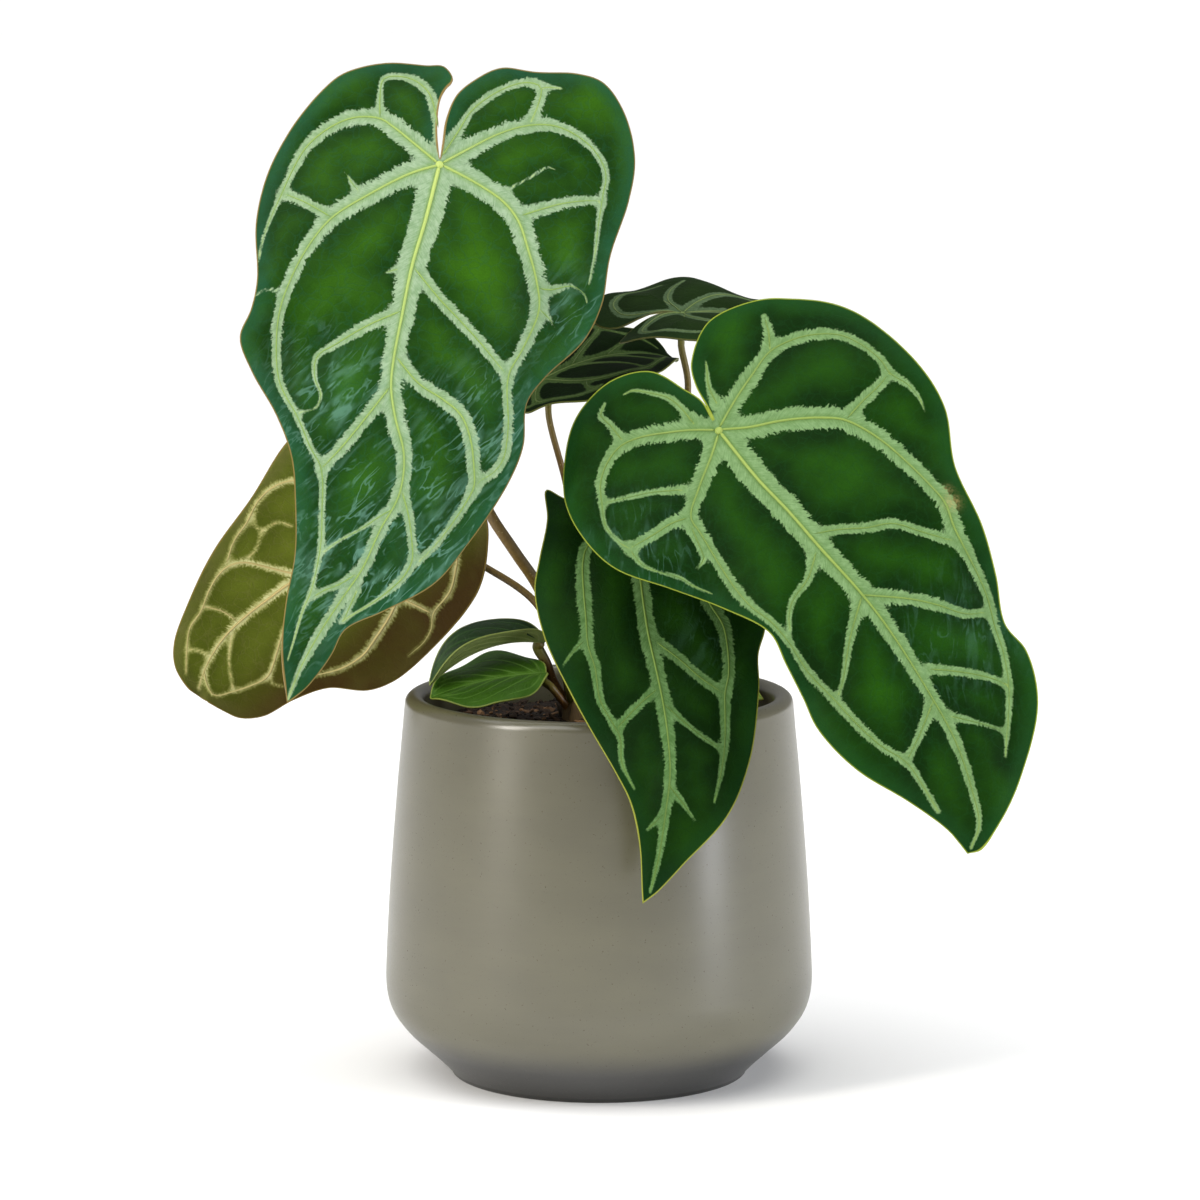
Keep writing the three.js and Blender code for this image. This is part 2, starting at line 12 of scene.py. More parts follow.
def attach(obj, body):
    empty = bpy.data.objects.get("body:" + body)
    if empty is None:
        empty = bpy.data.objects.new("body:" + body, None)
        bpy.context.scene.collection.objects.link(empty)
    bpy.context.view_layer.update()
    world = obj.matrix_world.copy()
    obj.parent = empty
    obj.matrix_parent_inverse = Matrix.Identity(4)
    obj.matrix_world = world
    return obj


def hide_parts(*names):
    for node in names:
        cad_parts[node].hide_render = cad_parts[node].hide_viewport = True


# Potted Anthurium magnificum: velvet blades with pale feathered veins, leaf stems, peat and a stoneware pot.
# Sizes are in millimetres and become metres through mm. +Z is up and -Y faces the viewer.
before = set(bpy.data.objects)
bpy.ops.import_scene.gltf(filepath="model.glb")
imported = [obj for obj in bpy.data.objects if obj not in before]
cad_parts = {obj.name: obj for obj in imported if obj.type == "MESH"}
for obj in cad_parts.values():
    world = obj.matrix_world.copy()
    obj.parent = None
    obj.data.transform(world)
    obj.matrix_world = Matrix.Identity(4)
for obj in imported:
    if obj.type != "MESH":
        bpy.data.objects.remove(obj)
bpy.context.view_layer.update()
mm = 0.001
perMetre = 1000


# Colours and nodes

def linear(hexColour):
    channels = [int(hexColour[k:k + 2], 16) / 255 for k in (1, 3, 5)]
    return [c / 12.92 if c <= 0.04045 else ((c + 0.055) / 1.055) ** 2.4 for c in channels] + [1.0]


minus = {"operation": "SUBTRACT"}
times = {"operation": "MULTIPLY"}
timesPlus = {"operation": "MULTIPLY_ADD"}
timesPlusHeld = {"operation": "MULTIPLY_ADD", "use_clamp": True}  # held between 0 and 1
smoothStep = {"interpolation_type": "SMOOTHSTEP"}
mixed = {"data_type": "RGBA"}
overlaid = {"data_type": "RGBA", "blend_type": "OVERLAY"}


def addNode(tree, kind, settings=None, inputs=(), out=None):
    # a new node with its settings; its inputs are set or linked in the order in which they show, or by name
    node = tree.nodes.new("ShaderNode" + kind)
    for key, value in (settings or {}).items():
        setattr(node, key, value)
    shown = [socket for socket in node.inputs if socket.enabled]
    for key, value in inputs.items() if isinstance(inputs, dict) else enumerate(inputs):
        socket = node.inputs[key] if isinstance(key, str) else shown[key]
        if isinstance(value, bpy.types.NodeSocket):
            tree.links.new(value, socket)
        else:
            socket.default_value = value
    return node.outputs[out] if out else next((socket for socket in node.outputs if socket.enabled), node)


def newMaterial(name):
    # an empty material, and addNode for its own tree
    material = bpy.data.materials.new(name)
    material.use_nodes = True
    material.node_tree.nodes.clear()
    return material, partial(addNode, material.node_tree)


# Pieces

def finishPiece(piece, node=None):
    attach(piece, "root")
    if node:
        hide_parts(node)
    return piece


def meshPiece(name, bm, materials):
    mesh = bpy.data.meshes.new(name)
    bm.to_mesh(mesh)
    bm.free()
    piece = bpy.data.objects.new(name, mesh)
    bpy.context.scene.collection.objects.link(piece)
    for material in materials:
        mesh.materials.append(material)
    mesh.shade_smooth()
    return piece


def gridOf(bm, columns, rows):
    # a flat grid of (columns + 1) by (rows + 1) points, each with its column and row
    verts = bmesh.ops.create_grid(bm, x_segments=columns, y_segments=rows, size=1)["verts"]
    column = [round((v.co.x + 1) / 2 * columns) for v in verts]
    row = [round((v.co.y + 1) / 2 * rows) for v in verts]
    return verts, np.array(column), np.array(row)


def sweepTube(bm, line, radii, sides, upward=None, flat=1.0, carried=None):
    # a round or flattened tube along a line; a radius of 0 at an end closes it in a point, and carried gives
    # point layers their values along the line
    line = np.asarray(line, float)
    ahead = np.gradient(line, axis=0)
    ahead /= np.linalg.norm(ahead, axis=1)[:, None]
    if upward is None:
        up = np.cross(ahead[0], [0.3, 1.0, 0.2])
        ups = []
        for step in ahead:
            up = up - step * (up @ step)
            up /= np.linalg.norm(up)
            ups.append(up)
        upward = np.array(ups)
    side = np.cross(ahead, upward)
    side /= np.linalg.norm(side, axis=1)[:, None]
    verts, column, row = gridOf(bm, sides, len(line) - 1)
    angle = 2 * np.pi * (column % sides) / sides
    reach = np.asarray(radii)[row][:, None]
    spots = line[row] + reach * (
        np.cos(angle)[:, None] * side[row] + flat * np.sin(angle)[:, None] * upward[row])
    for vert, spot, r in zip(verts, spots, row):
        vert.co = spot
        for layer, values in (carried or {}).items():
            vert[layer] = values[r]
    bmesh.ops.remove_doubles(bm, verts=verts, dist=1e-7)


# Curves through a few points

def smoothLine(points, perSpan=20):
    points = np.array(points, float)
    guide = np.vstack([2 * points[0] - points[1], points, 2 * points[-1] - points[-2]])
    share = np.linspace(0, 1, perSpan, endpoint=False)[:, None]
    spans = []
    for k in range(len(points) - 1):
        p0, p1, p2, p3 = guide[k:k + 4]
        d0, d1, d2 = [max(np.linalg.norm(b - a), 1e-9) ** 0.5 for a, b in ((p0, p1), (p1, p2), (p2, p3))]
        leave = ((p1 - p0) / d0 - (p2 - p0) / (d0 + d1) + (p2 - p1) / d1) * d1
        arrive = ((p2 - p1) / d1 - (p3 - p1) / (d1 + d2) + (p3 - p2) / d2) * d1
        spans.append(p1 + leave * share + (3 * (p2 - p1) - 2 * leave - arrive) * share ** 2
                     + (2 * (p1 - p2) + leave + arrive) * share ** 3)
    return np.vstack(spans + [points[-1:]])


def runOf(line):
    return np.concatenate([[0], np.cumsum(np.linalg.norm(np.diff(line, axis=0), axis=1))])


def alongLine(line, shares):
    run = runOf(line)
    return np.stack([np.interp(np.asarray(shares) * run[-1], run, axis) for axis in line.T], -1)


# The eye that the blades' outlines were read from: a mark is [right, down] in a square frame.
eye = {"place": np.array([0, -1.831, 0.4392]), "pitch": math.radians(8.11), "focal": 4969,
       "middle": [599.05, 600], "frame": 1200, "sensor": 36}


def sightLines(marks):
    marks = np.atleast_2d(np.asarray(marks, float))
    forward = np.array([0, math.cos(eye["pitch"]), -math.sin(eye["pitch"])])
    up = np.array([0, math.sin(eye["pitch"]), math.cos(eye["pitch"])])
    lines = np.outer(marks[:, 0] - eye["middle"][0], [1, 0, 0])
    lines += np.outer(eye["middle"][1] - marks[:, 1], up) + forward * eye["focal"]
    return lines / np.linalg.norm(lines, axis=1)[:, None]


def pointAtDepth(mark, depth):
    line = sightLines(mark)[0]
    return eye["place"] + line * (depth * mm - eye["place"][1]) / line[1]


camera = bpy.data.objects.new("camera", bpy.data.cameras.new("camera"))
bpy.context.scene.collection.objects.link(camera)
camera.location = eye["place"]
camera.rotation_euler = (math.pi / 2 - eye["pitch"], 0, 0)
camera.data.sensor_width = eye["sensor"]
camera.data.lens = eye["sensor"] * eye["focal"] / eye["frame"]
camera.data.shift_x = (eye["frame"] / 2 - eye["middle"][0]) / eye["frame"]
bpy.context.scene.camera = camera
print("camera set")


# Blades whose outline is read from the eye point: joint is the stem's mark and depth its distance behind the
# pot's axis, lean is how far the blade goes back for each millimetre right and up, and the rest bends it.
# A vein is its widths in millimetres, evenly spread from its start to its end, and its marks.
readLeaves = {
    "leaf_a": {
        "joint": [439.5, 165], "depth": -30, "lean": [0.1, 0.317], "arch": 18, "camber": 12,
        "wave": [3.6, 74, 0.6],
        "bumps": [[575, 320, 16, -7], [505, 400, 14, 6], [262, 300, 14, 5], [250, 360, 14, -4],
                  [345, 560, 18, 5]],
        "lobes": [[372, 125], [530, 125]],
        "left": [[440, 159.3], [437.5, 144], [437, 122], [440, 100], [446, 88], [453, 80], [444, 67],
                 [427, 66], [386, 63.4], [345, 73], [322.6, 90], [291, 129], [267, 176], [256, 225],
                 [257, 280], [251, 309], [240, 337], [252, 372], [276, 415], [291, 456], [295, 500],
                 [295, 555], [286, 602], [281.5, 650], [287, 703.6]],
        "right": [[440, 159.3], [442.7, 144], [446, 120], [456, 96], [475, 80], [501, 68.5], [536, 72.5],
                  [577, 73.8], [603, 83], [624, 112], [634.5, 160], [629, 200], [610, 257], [602, 305],
                  [584, 341], [545, 378], [526.5, 404], [523, 447], [508, 484], [468, 544], [434, 584],
                  [385, 611], [345, 630], [331, 655], [308, 686], [287, 703.6]],
        "midrib": [[439.5, 165], [425, 222], [402, 310], [391, 387], [404, 456], [380, 530], [341, 599],
                   [300, 669], [287, 703.6]],
        "veins": [
            ([12.5, 11, 9.5, 8, 7.5, 5.5, 4.6, 4.6, 3.6, 1.2],
             [[439.5, 165], [425, 222], [412, 266], [401.5, 318], [394, 357], [391, 387], [395, 417],
              [404, 456], [399, 495], [380, 530], [362, 569], [341, 600], [319, 634], [300, 669],
              [288, 699]]),
            ([9, 8, 5.8, 4.6, 3.2, 1.4, 0.6],
             [[439.7, 165], [419, 148], [393, 127], [380, 119], [354, 118], [328, 129], [306, 148],
              [291, 174], [282, 194], [271, 218], [263, 240], [258, 265]]),
            ([4, 2, 2.4, 4, 4, 3],
             [[380, 119], [380, 96], [384, 79], [410, 79], [428, 92], [436, 114], [438.5, 140]]),
            ([9.5, 8, 6.5, 4.6, 4, 3, 2.4, 2.6, 2.2, 1.6, 0.4],
             [[439.7, 165], [410, 174], [367, 196], [332, 218], [310, 244], [293, 274], [280, 309],
              [276.6, 344], [280, 383], [297.5, 417], [310.5, 448], [321, 468], [322, 512], [321, 545],
              [311, 592], [303, 610], [292.5, 644], [287, 661]]),
            ([4.2, 4], [[332, 218], [306, 203], [284, 194]]),
            ([5, 4.6, 3.6, 2.2, 1.2, 0.7],
             [[401.5, 311], [367, 326], [336.5, 344], [317, 357], [315, 378], [321, 396], [315, 409],
              [300, 413]]),
            ([5.5, 5, 4.4], [[390, 387], [362.5, 422], [341, 448], [321, 469]]),
            ([3, 1.2, 1.4], [[395, 508], [383, 514.5], [362, 528.5], [336, 543], [324, 552]]),
            ([3.5, 2.2, 2.4], [[356, 574], [340, 584], [325, 590], [313, 597]]),
            ([5.5, 4.4, 2.8, 3.4, 2.6, 3.6, 4.2, 4.6],
             [[441, 157], [457.5, 132.5], [472.5, 110], [502, 90], [527, 83], [541, 88], [538, 105],
              [531, 122]]),
            ([2.5, 0.5], [[541, 88], [552, 88], [562, 89]]),
            ([9, 7.5, 5.5, 4.8, 3.4, 2.6, 2.2, 1.6, 0.8],
             [[441, 164], [471, 148], [497, 135], [527, 126], [553, 126], [575, 135], [595, 152],
              [605.5, 174], [602.5, 196], [598.5, 222], [594, 260], [589, 285]]),
            ([9.5, 8.5, 8.5, 8, 7, 5.6, 4.6, 3.8, 3.4, 3.6, 3],
             [[441, 165], [475, 183], [503, 202], [518, 221], [528, 250], [536, 280], [538.5, 310],
              [523, 348], [508, 377], [508, 427], [503.5, 458], [494, 472], [480, 481], [473, 489]]),
            ([5, 4.4, 3], [[521, 216], [540, 210], [562, 204], [590, 201], [601, 202]]),
            ([5, 3, 1, 0.5], [[538, 288], [550, 290], [572, 286], [585, 295], [587, 303]]),
            ([5, 2, 0.4], [[538, 308], [548, 318], [554, 327]]),
            ([5, 4.8, 4.4, 4.2, 4], [[414, 268], [440, 300], [460, 321], [480, 343], [506, 375]]),
            ([5.5, 5, 6, 5.4, 4.6, 3.6, 2.6, 2.4],
             [[396, 357], [419, 384], [442, 399], [461, 415], [470.5, 439], [474, 470], [474, 486],
              [465.5, 503], [451.5, 524], [437, 543], [418.5, 562]]),
            ([4.4, 3.8, 3.2, 3.4, 3.4, 3, 1.4, 1, 0.8],
             [[402, 492], [408, 514], [411.5, 540], [412, 560], [404, 576], [392, 588], [376, 600.5],
              [357, 612], [341, 621.5]]),
            ([3, 0.8], [[357, 590], [350, 606], [343, 621]]),
            ([0.6, 1.2], [[255, 296], [265, 290], [278, 291]]),
            ([3, 0.3], [[358, 191], [351, 182], [345, 172]]),
            ([1, 0.8, 1.2, 0.4], [[507, 190], [528, 179], [547, 168], [556, 170]]),
            ([0.4, 3], [[384, 273], [398, 269]]),
        ],
        # sheen patches, [right, down, radius, weight]: where pale highlight streaks are painted on as sheen
        "silk": [[400, 560, 110, 1.0], [335, 400, 60, 0.7], [575, 320, 45, 0.6], [490, 430, 60, 0.75]],
        "scars": [],
    },
    "leaf_b": {
        "joint": [719, 431], "depth": -70, "lean": [-0.05, 0.28], "arch": 18, "camber": 10,
        "wave": [3.2, 66, 2.4],
        "bumps": [[640, 575, 18, 9], [600, 400, 20, -6], [1000, 640, 16, -5], [790, 690, 14, -5]],
        "lobes": [[632, 440], [770, 358]],
        "left": [[713.5, 420], [702, 401], [685, 390], [650, 371.6], [609.5, 382], [576, 418], [565, 460],
                 [566, 505], [586, 542], [616, 569.5], [670.5, 589], [725, 609.5], [769.5, 633], [785.5, 664],
                 [803, 698], [818, 729.5], [855.8, 769.5], [910.6, 803], [950, 832], [967.4, 853.8]],
        "right": [[713.5, 420], [706, 405], [695.8, 386], [691.6, 363], [708, 323], [754.8, 300.8],
                  [792.7, 299], [830.6, 303.5], [863, 316.5], [918, 363.5], [945, 408], [955, 466],
                  [982, 525], [996, 575], [1005, 624], [1027, 652], [1038, 702], [1022, 773.7], [1003, 817],
                  [981, 850], [967.4, 853.8]],
        "midrib": [[719, 431], [757.5, 479], [820.7, 548.6], [880, 612], [939.4, 699], [975, 774], [979, 814],
                   [967.4, 853.8]],
        "veins": [
            ([10.5, 10, 9.5, 9, 7.5, 6, 5, 4.2, 3, 1.2],
             [[719, 431], [757.5, 479], [789, 512], [820.7, 548.6], [860, 592], [888, 628], [925, 686],
              [955, 740], [972, 790], [979, 825], [971, 848]]),
            ([7.5, 6.8, 6.6, 5.2, 4.4, 4.2, 3.4, 3, 3.4, 2, 0.5],
             [[719, 429], [735, 401], [752.5, 375], [770, 352], [793, 340], [814, 335], [840, 335.5],
              [863, 346], [881, 360.5], [890, 373.5], [907, 384], [919, 398], [926, 413]]),
            ([5, 4, 2.2], [[770, 349], [768.5, 331], [764, 317]]),
            ([8, 8.5, 8.2, 7.6, 7, 6, 6, 6.4, 4.4, 3.4, 3, 2.6, 2.2, 1],
             [[719, 430], [750, 427.5], [776, 422], [799, 419], [822.5, 418], [844, 420], [866, 430.5],
              [887, 445], [910, 465.5], [930.5, 486], [945, 503], [954, 527], [965.5, 550], [977, 573],
              [986, 594], [995, 628], [1003, 652], [1009, 690], [1005, 757]]),
            ([5.5, 4.6, 4, 3.6], [[847, 419], [863, 401], [878, 387], [888, 375]]),
            ([3.6, 3.8, 3.6, 4, 3.2, 3.6, 4],
             [[814, 534], [840, 529.5], [866, 528], [892.5, 523.5], [919, 531], [939, 537], [954, 541]]),
            ([5, 5.5, 5, 4.4, 3.4, 2.6],
             [[860.5, 595], [889.5, 597], [913, 599.5], [939, 605.5], [965.5, 614], [986, 612]]),
            ([4, 3, 2.2], [[929, 669], [961, 672], [990, 678], [1008, 685]]),
            ([3, 1.8, 1], [[951, 716], [986, 725], [1005, 731.5]]),
            ([8, 7, 7, 6.4, 5.4, 4.6, 4, 3, 1.6, 1.6, 2.2],
             [[717.5, 430.5], [691, 430.5], [668, 433], [641.5, 437.5], [621, 446.5], [608, 462.5],
              [601, 483], [602, 503], [606, 526.5], [618, 541], [630, 550]]),
            ([8, 7, 5.6, 4.8, 4.3, 4.3, 3, 2.8, 3.4, 3.6, 3.4, 3, 2.6, 2],
             [[719, 433], [711.5, 456.5], [700, 486], [691, 518], [700, 532.5], [717.5, 561.5], [735, 588],
              [752.5, 608], [770, 621], [788, 641], [809, 673], [835, 700], [856, 723], [881, 746],
              [906, 762], [923, 786], [938, 811]]),
            ([4.6, 4.4, 4, 3.4], [[688, 518], [671, 524], [653, 535.5], [630, 549]]),
            ([4.6, 3, 2.4, 0.8], [[691, 527], [700, 547], [704, 559], [697, 569]]),
            ([1.4, 2, 2.4, 4.2], [[606, 503], [630, 497.5], [650.5, 493], [684, 490]]),
            ([4.5, 3, 2.6, 1], [[622, 440], [609.5, 424.5], [601, 416], [605, 404]]),
            ([5, 2.4, 1.6, 0.6], [[717, 404], [709, 387], [707, 369], [706, 362]]),
            ([7, 3, 2.6, 1.8, 1.2, 0.6],
             [[694, 424], [680, 407], [668, 398], [653, 394], [633, 391], [624, 395]]),
            ([6, 3.6, 2.6, 2.2, 1.2], [[816, 553], [808, 579], [793, 600], [789, 617], [790, 632]]),
            ([6, 3.6, 2.4, 1], [[862, 596], [850, 639], [843, 681], [837, 700]]),
            ([5, 3, 2.4], [[932, 704], [919, 736], [907, 760]]),
            ([2.4, 1.6, 1, 1.6, 1, 0.5],
             [[631, 551], [642, 565], [659, 572], [680, 578], [694, 586.5], [712, 594]]),
        ],
        "silk": [[640, 560, 50, 0.45], [960, 640, 60, 0.3]],
        "scars": [[952, 503, 7, 0.8], [948, 490, 4, 0.5]],
    },
    "leaf_c": {
        "joint": [635, 532], "depth": -55, "lean": [0.05, 0.41], "arch": 9, "camber": 6,
        "wave": [2.2, 52, 1.2],
        "bumps": [[546, 492, 12, -5], [620, 780, 12, 3]],
        "lobes": [[583, 545], [690, 552]],
        "left": [[630, 522], [605, 515], [585, 507], [563, 498], [546, 490], [547, 520], [539, 560],
                 [534.5, 590], [545, 639], [577, 706], [616, 774], [631, 805], [640, 850], [642.5, 903.6]],
        "right": [[630, 522], [640, 513], [660, 506], [690, 508], [720, 520], [748, 545], [763, 580],
                  [765, 628], [758, 655], [759, 690], [750, 760], [727, 817], [684, 864], [656, 893],
                  [642.5, 903.6]],
        "midrib": [[635, 532], [647, 631], [668, 738.6], [668, 790], [652, 875], [642.5, 903.6]],
        "veins": [
            ([6, 6, 6, 6.2, 5.6, 5, 4, 3.4, 2.6, 1],
             [[635, 532], [641.5, 589], [647.5, 631], [655.5, 667], [663, 703], [668, 738.5], [670, 774],
              [665, 817], [659, 856], [650, 892]]),
            ([3, 3.4, 4.6, 5.6, 5, 4, 3.6, 3, 2.6, 2, 0.8],
             [[635, 532], [608, 535], [588, 546], [583, 562], [583.5, 588], [586, 618], [588, 645],
              [595, 668], [600, 700], [612, 722], [620, 737], [622, 763], [634, 789]]),
            ([3, 3.4, 3.4], [[618, 727], [641, 703], [656, 690]]),
            ([3, 4, 5, 5.6, 5.4, 4.6, 4.4, 4, 3, 2, 0.8],
             [[635, 532], [668, 545], [694, 572], [710, 605], [722.5, 625], [727.5, 650], [728.5, 675],
              [725, 693], [725, 715], [725, 735], [722, 767], [714, 803]]),
            ([4.6, 4, 4, 4], [[656, 642], [680, 660], [700, 677.5], [723, 693]]),
            ([3, 2.4, 2, 1.6], [[663, 703], [687, 725], [704, 738], [722, 750]]),
            ([3, 2, 0.8], [[669, 786], [679, 798], [695, 821]]),
            ([2.5, 1.8, 0.8], [[664, 814], [656, 821], [647, 830]]),
            ([2.5, 1.2, 0.6], [[586, 640], [573, 652], [562, 668]]),
        ],
        "silk": [[700, 640, 40, 0.2]],
        "scars": [],
    },
    "leaf_d": {
        "joint": [420, 540], "depth": -5, "lean": [-0.315, -0.35], "arch": -12, "camber": -7,
        "wave": [2.6, 58, 0],
        "bumps": [[330, 690, 14, -4], [190, 600, 12, 3]],
        "lobes": [[368, 478], [452, 548]],
        "left": [[428, 528], [424, 495], [410, 458], [385, 430], [352, 415], [318, 418], [287, 442],
                 [251, 498], [214, 550], [190, 598], [174, 643], [175, 667], [188, 688], [201, 698]],
        "right": [[428, 528], [440, 507], [458, 494], [475, 500], [487, 521], [488, 547], [482, 582],
                  [471, 604], [436, 645], [396, 680], [368, 690.5], [329, 688], [294, 700], [264, 716],
                  [240, 718], [225, 712], [201, 698]],
        "midrib": [[420, 540], [345, 563], [290, 583], [247, 615], [212, 654], [201, 698]],
        "veins": [
            ([5.5, 5, 4.8, 4.6, 4.2, 3.4, 2.6, 1.4],
             [[420, 540], [382, 552], [345, 563], [310, 574], [290, 583], [268, 599], [247, 615], [226, 635],
              [212, 655], [203, 674], [198, 690]]),
            ([4.4, 3.8, 3.2, 2.8, 2.2, 1.5, 1.4, 1.3, 0.8],
             [[318, 574], [294, 573], [268, 567], [245, 562], [230, 565], [218, 575], [208, 593], [201, 611],
              [190, 628], [187, 650], [186, 674]]),
            ([1.5, 2, 2.4, 3, 3.6, 4, 4.4],
             [[227, 562], [234, 541], [247, 522], [258, 501], [273, 487], [293, 480], [330, 484], [375, 505],
              [418, 538]]),
            ([1.6, 2.2], [[203, 606], [223, 611], [238, 622]]),
            ([1.4, 2], [[188, 649], [200, 651], [210, 657]]),
            ([2, 1.3, 1.2], [[232, 633], [229, 659], [233, 689]]),
            ([2, 1.5, 1.8, 2.4, 2.4, 2, 2],
             [[204, 670], [207, 684], [214, 695], [234, 691], [253, 684.5], [268, 676], [276, 656],
              [284, 630], [300, 600]]),
            ([1.5, 1.2, 1.2], [[253, 514], [256, 526], [262, 531], [271, 525], [279, 522], [292, 526]]),
            ([1.6, 1], [[268, 677], [274, 684], [284, 686]]),
            ([4.6, 4.4, 4, 3.8, 3.6, 3, 2.4, 1.6],
             [[420, 540], [405, 573], [394, 608], [385, 624], [375, 639], [364, 654], [344, 667], [320, 674],
              [296, 678]]),
            ([3, 2.6, 3, 3, 1.6, 1.2, 0.6],
             [[424, 536], [444, 536], [457, 552], [455, 575], [450, 592], [434, 613], [432, 628], [425, 641],
              [408, 656]]),
            ([4, 2.6], [[398, 597], [412, 603], [434, 614]]),
            ([1.4, 1.2, 0.6], [[262, 531], [256, 549], [243, 561]]),
        ],
        "silk": [],
        "scars": [],
    },
}

# Blades given by size: joint and tip in space, the way the face looks, the bend along the midrib (arch) and
# the rise of the left and right half (fold) in degrees. Their half outlines are shares of half width and
# length: heart, the same with its sinus closed, and the young leaves' egg.
sizedLeaves = {
    "leaf_e": {"outline": "closedHeart", "joint": [31, 12, 284], "tip": [95.8, 49.4, 253.8],
               "face": [0.05, -0.25, 1], "halfWidth": 32, "arch": 56, "fold": [18, 18], "camber": 8,
               "wave": [1.8, 40, 0.5]},
    "leaf_f": {"outline": "heart", "joint": [-21, 27, 258], "tip": [29, 62, 262], "face": [0.05, -0.5, 1],
               "halfWidth": 28, "arch": 46, "fold": [17, 17], "camber": 4, "wave": [1.6, 34, 2]},
    "leaf_g": {"outline": "egg", "joint": [-21.8, 6.5, 161.5], "tip": [-63, -4, 146.5],
               "face": [-0.1, -0.3, 1], "halfWidth": 13, "arch": 62, "fold": [50, 34], "camber": 1,
               "wave": [0.8, 30, 0]},
    "leaf_h": {"outline": "egg", "joint": [-20.8, -2, 151], "tip": [-63, -5, 142], "face": [-0.05, -0.42, 1],
               "halfWidth": 18.5, "arch": 24, "fold": [13, 13], "camber": 4.5, "wave": [1.2, 26, 1]},
    "leaf_i": {"outline": "egg", "joint": [17, 14, 145], "tip": [61.8, 14, 138.5], "face": [0.1, -0.4, 1],
               "halfWidth": 12, "arch": 24, "fold": [8, 8], "camber": 1.5, "wave": [0.6, 26, 2]},
}
sizedOutlines = {
    "heart": {
        "margin": [[0, -0.03], [0.1, -0.14], [0.28, -0.24], [0.52, -0.24], [0.74, -0.12], [0.92, 0.02],
                   [1, 0.17], [0.97, 0.34], [0.82, 0.54], [0.55, 0.76], [0.24, 0.925], [0, 1]],
        "lobe": [0.45, -0.03],
        "midrib": ([4.6, 4.2, 3.4, 2.4, 0.8], [[0, 0], [0, 0.35], [0, 0.7], [0, 0.96]]),
        "veins": [
            ([4, 3.4, 2.8, 2.2, 1], [[0, 0], [0.2, -0.1], [0.44, -0.15], [0.66, -0.08], [0.78, 0.06],
                                     [0.8, 0.2]]),
            ([4, 3.6, 3, 2.6, 2, 0.8],
             [[0, 0], [0.26, 0.05], [0.52, 0.14], [0.7, 0.28], [0.72, 0.42], [0.58, 0.58], [0.36, 0.74],
              [0.14, 0.88]]),
            ([2.8, 2.4, 2], [[0, 0.2], [0.24, 0.36], [0.46, 0.5], [0.6, 0.56]]),
            ([2.4, 2, 1.4], [[0, 0.45], [0.18, 0.6], [0.36, 0.74]]),
            ([2, 1.4], [[0.44, -0.15], [0.42, -0.2], [0.34, -0.22]]),
            ([2.2, 1.8], [[0.56, 0.16], [0.7, 0.13], [0.82, 0.16]]),
        ],
    },
    "closedHeart": {
        "margin": [[0, -0.03], [0.03, -0.1], [0.06, -0.2], [0.14, -0.3], [0.34, -0.36], [0.62, -0.33],
                   [0.88, -0.18], [1, 0], [1, 0.17], [0.94, 0.36], [0.8, 0.55], [0.55, 0.76], [0.24, 0.925],
                   [0, 1]],
        "lobe": [0.5, -0.06],
        "midrib": ([5, 4.6, 3.6, 2.4, 0.8], [[0, 0], [0, 0.35], [0, 0.7], [0, 0.96]]),
        "veins": [
            ([4.6, 4.2, 3.6, 3, 2, 0.8], [[0, 0], [0.1, -0.14], [0.3, -0.24], [0.55, -0.24], [0.76, -0.1],
                                          [0.84, 0.04]]),
            ([4, 3.4, 2.6, 1.2], [[0, 0], [0.3, -0.02], [0.6, 0.04], [0.84, 0.14]]),
            ([4.2, 4, 3.6, 3, 2.4, 1.6, 0.8],
             [[0, 0], [0.2, 0.1], [0.44, 0.26], [0.56, 0.42], [0.5, 0.6], [0.3, 0.8], [0.12, 0.92]]),
            ([2.4, 2, 1.4], [[0, 0.45], [0.14, 0.6], [0.26, 0.74]]),
        ],
    },
    "egg": {
        "margin": [[0, -0.03], [0.18, -0.03], [0.38, 0.01], [0.66, 0.09], [0.9, 0.22], [1, 0.36],
                   [0.94, 0.54], [0.74, 0.73], [0.45, 0.88], [0.18, 0.965], [0, 1]],
        "lobe": [0.45, 0.16],
        "midrib": ([1.5, 1.3, 1, 0.4], [[0, -0.02], [0, 0.35], [0, 0.7], [0, 0.97]]),
        "veins": [
            ([0.9, 0.6, 0.3], [[0, 0.02], [0.35, 0.06], [0.66, 0.18], [0.84, 0.36]]),
            ([0.9, 0.6, 0.3], [[0, 0.06], [0.28, 0.18], [0.56, 0.34], [0.72, 0.54], [0.66, 0.7]]),
            ([0.8, 0.5, 0.3], [[0, 0.2], [0.24, 0.36], [0.46, 0.54], [0.52, 0.72], [0.4, 0.84]]),
            ([0.7, 0.5, 0.3], [[0, 0.38], [0.2, 0.54], [0.34, 0.7], [0.28, 0.88]]),
            ([0.6, 0.4, 0.3], [[0, 0.56], [0.14, 0.7], [0.2, 0.84], [0.12, 0.94]]),
        ],
    },
}
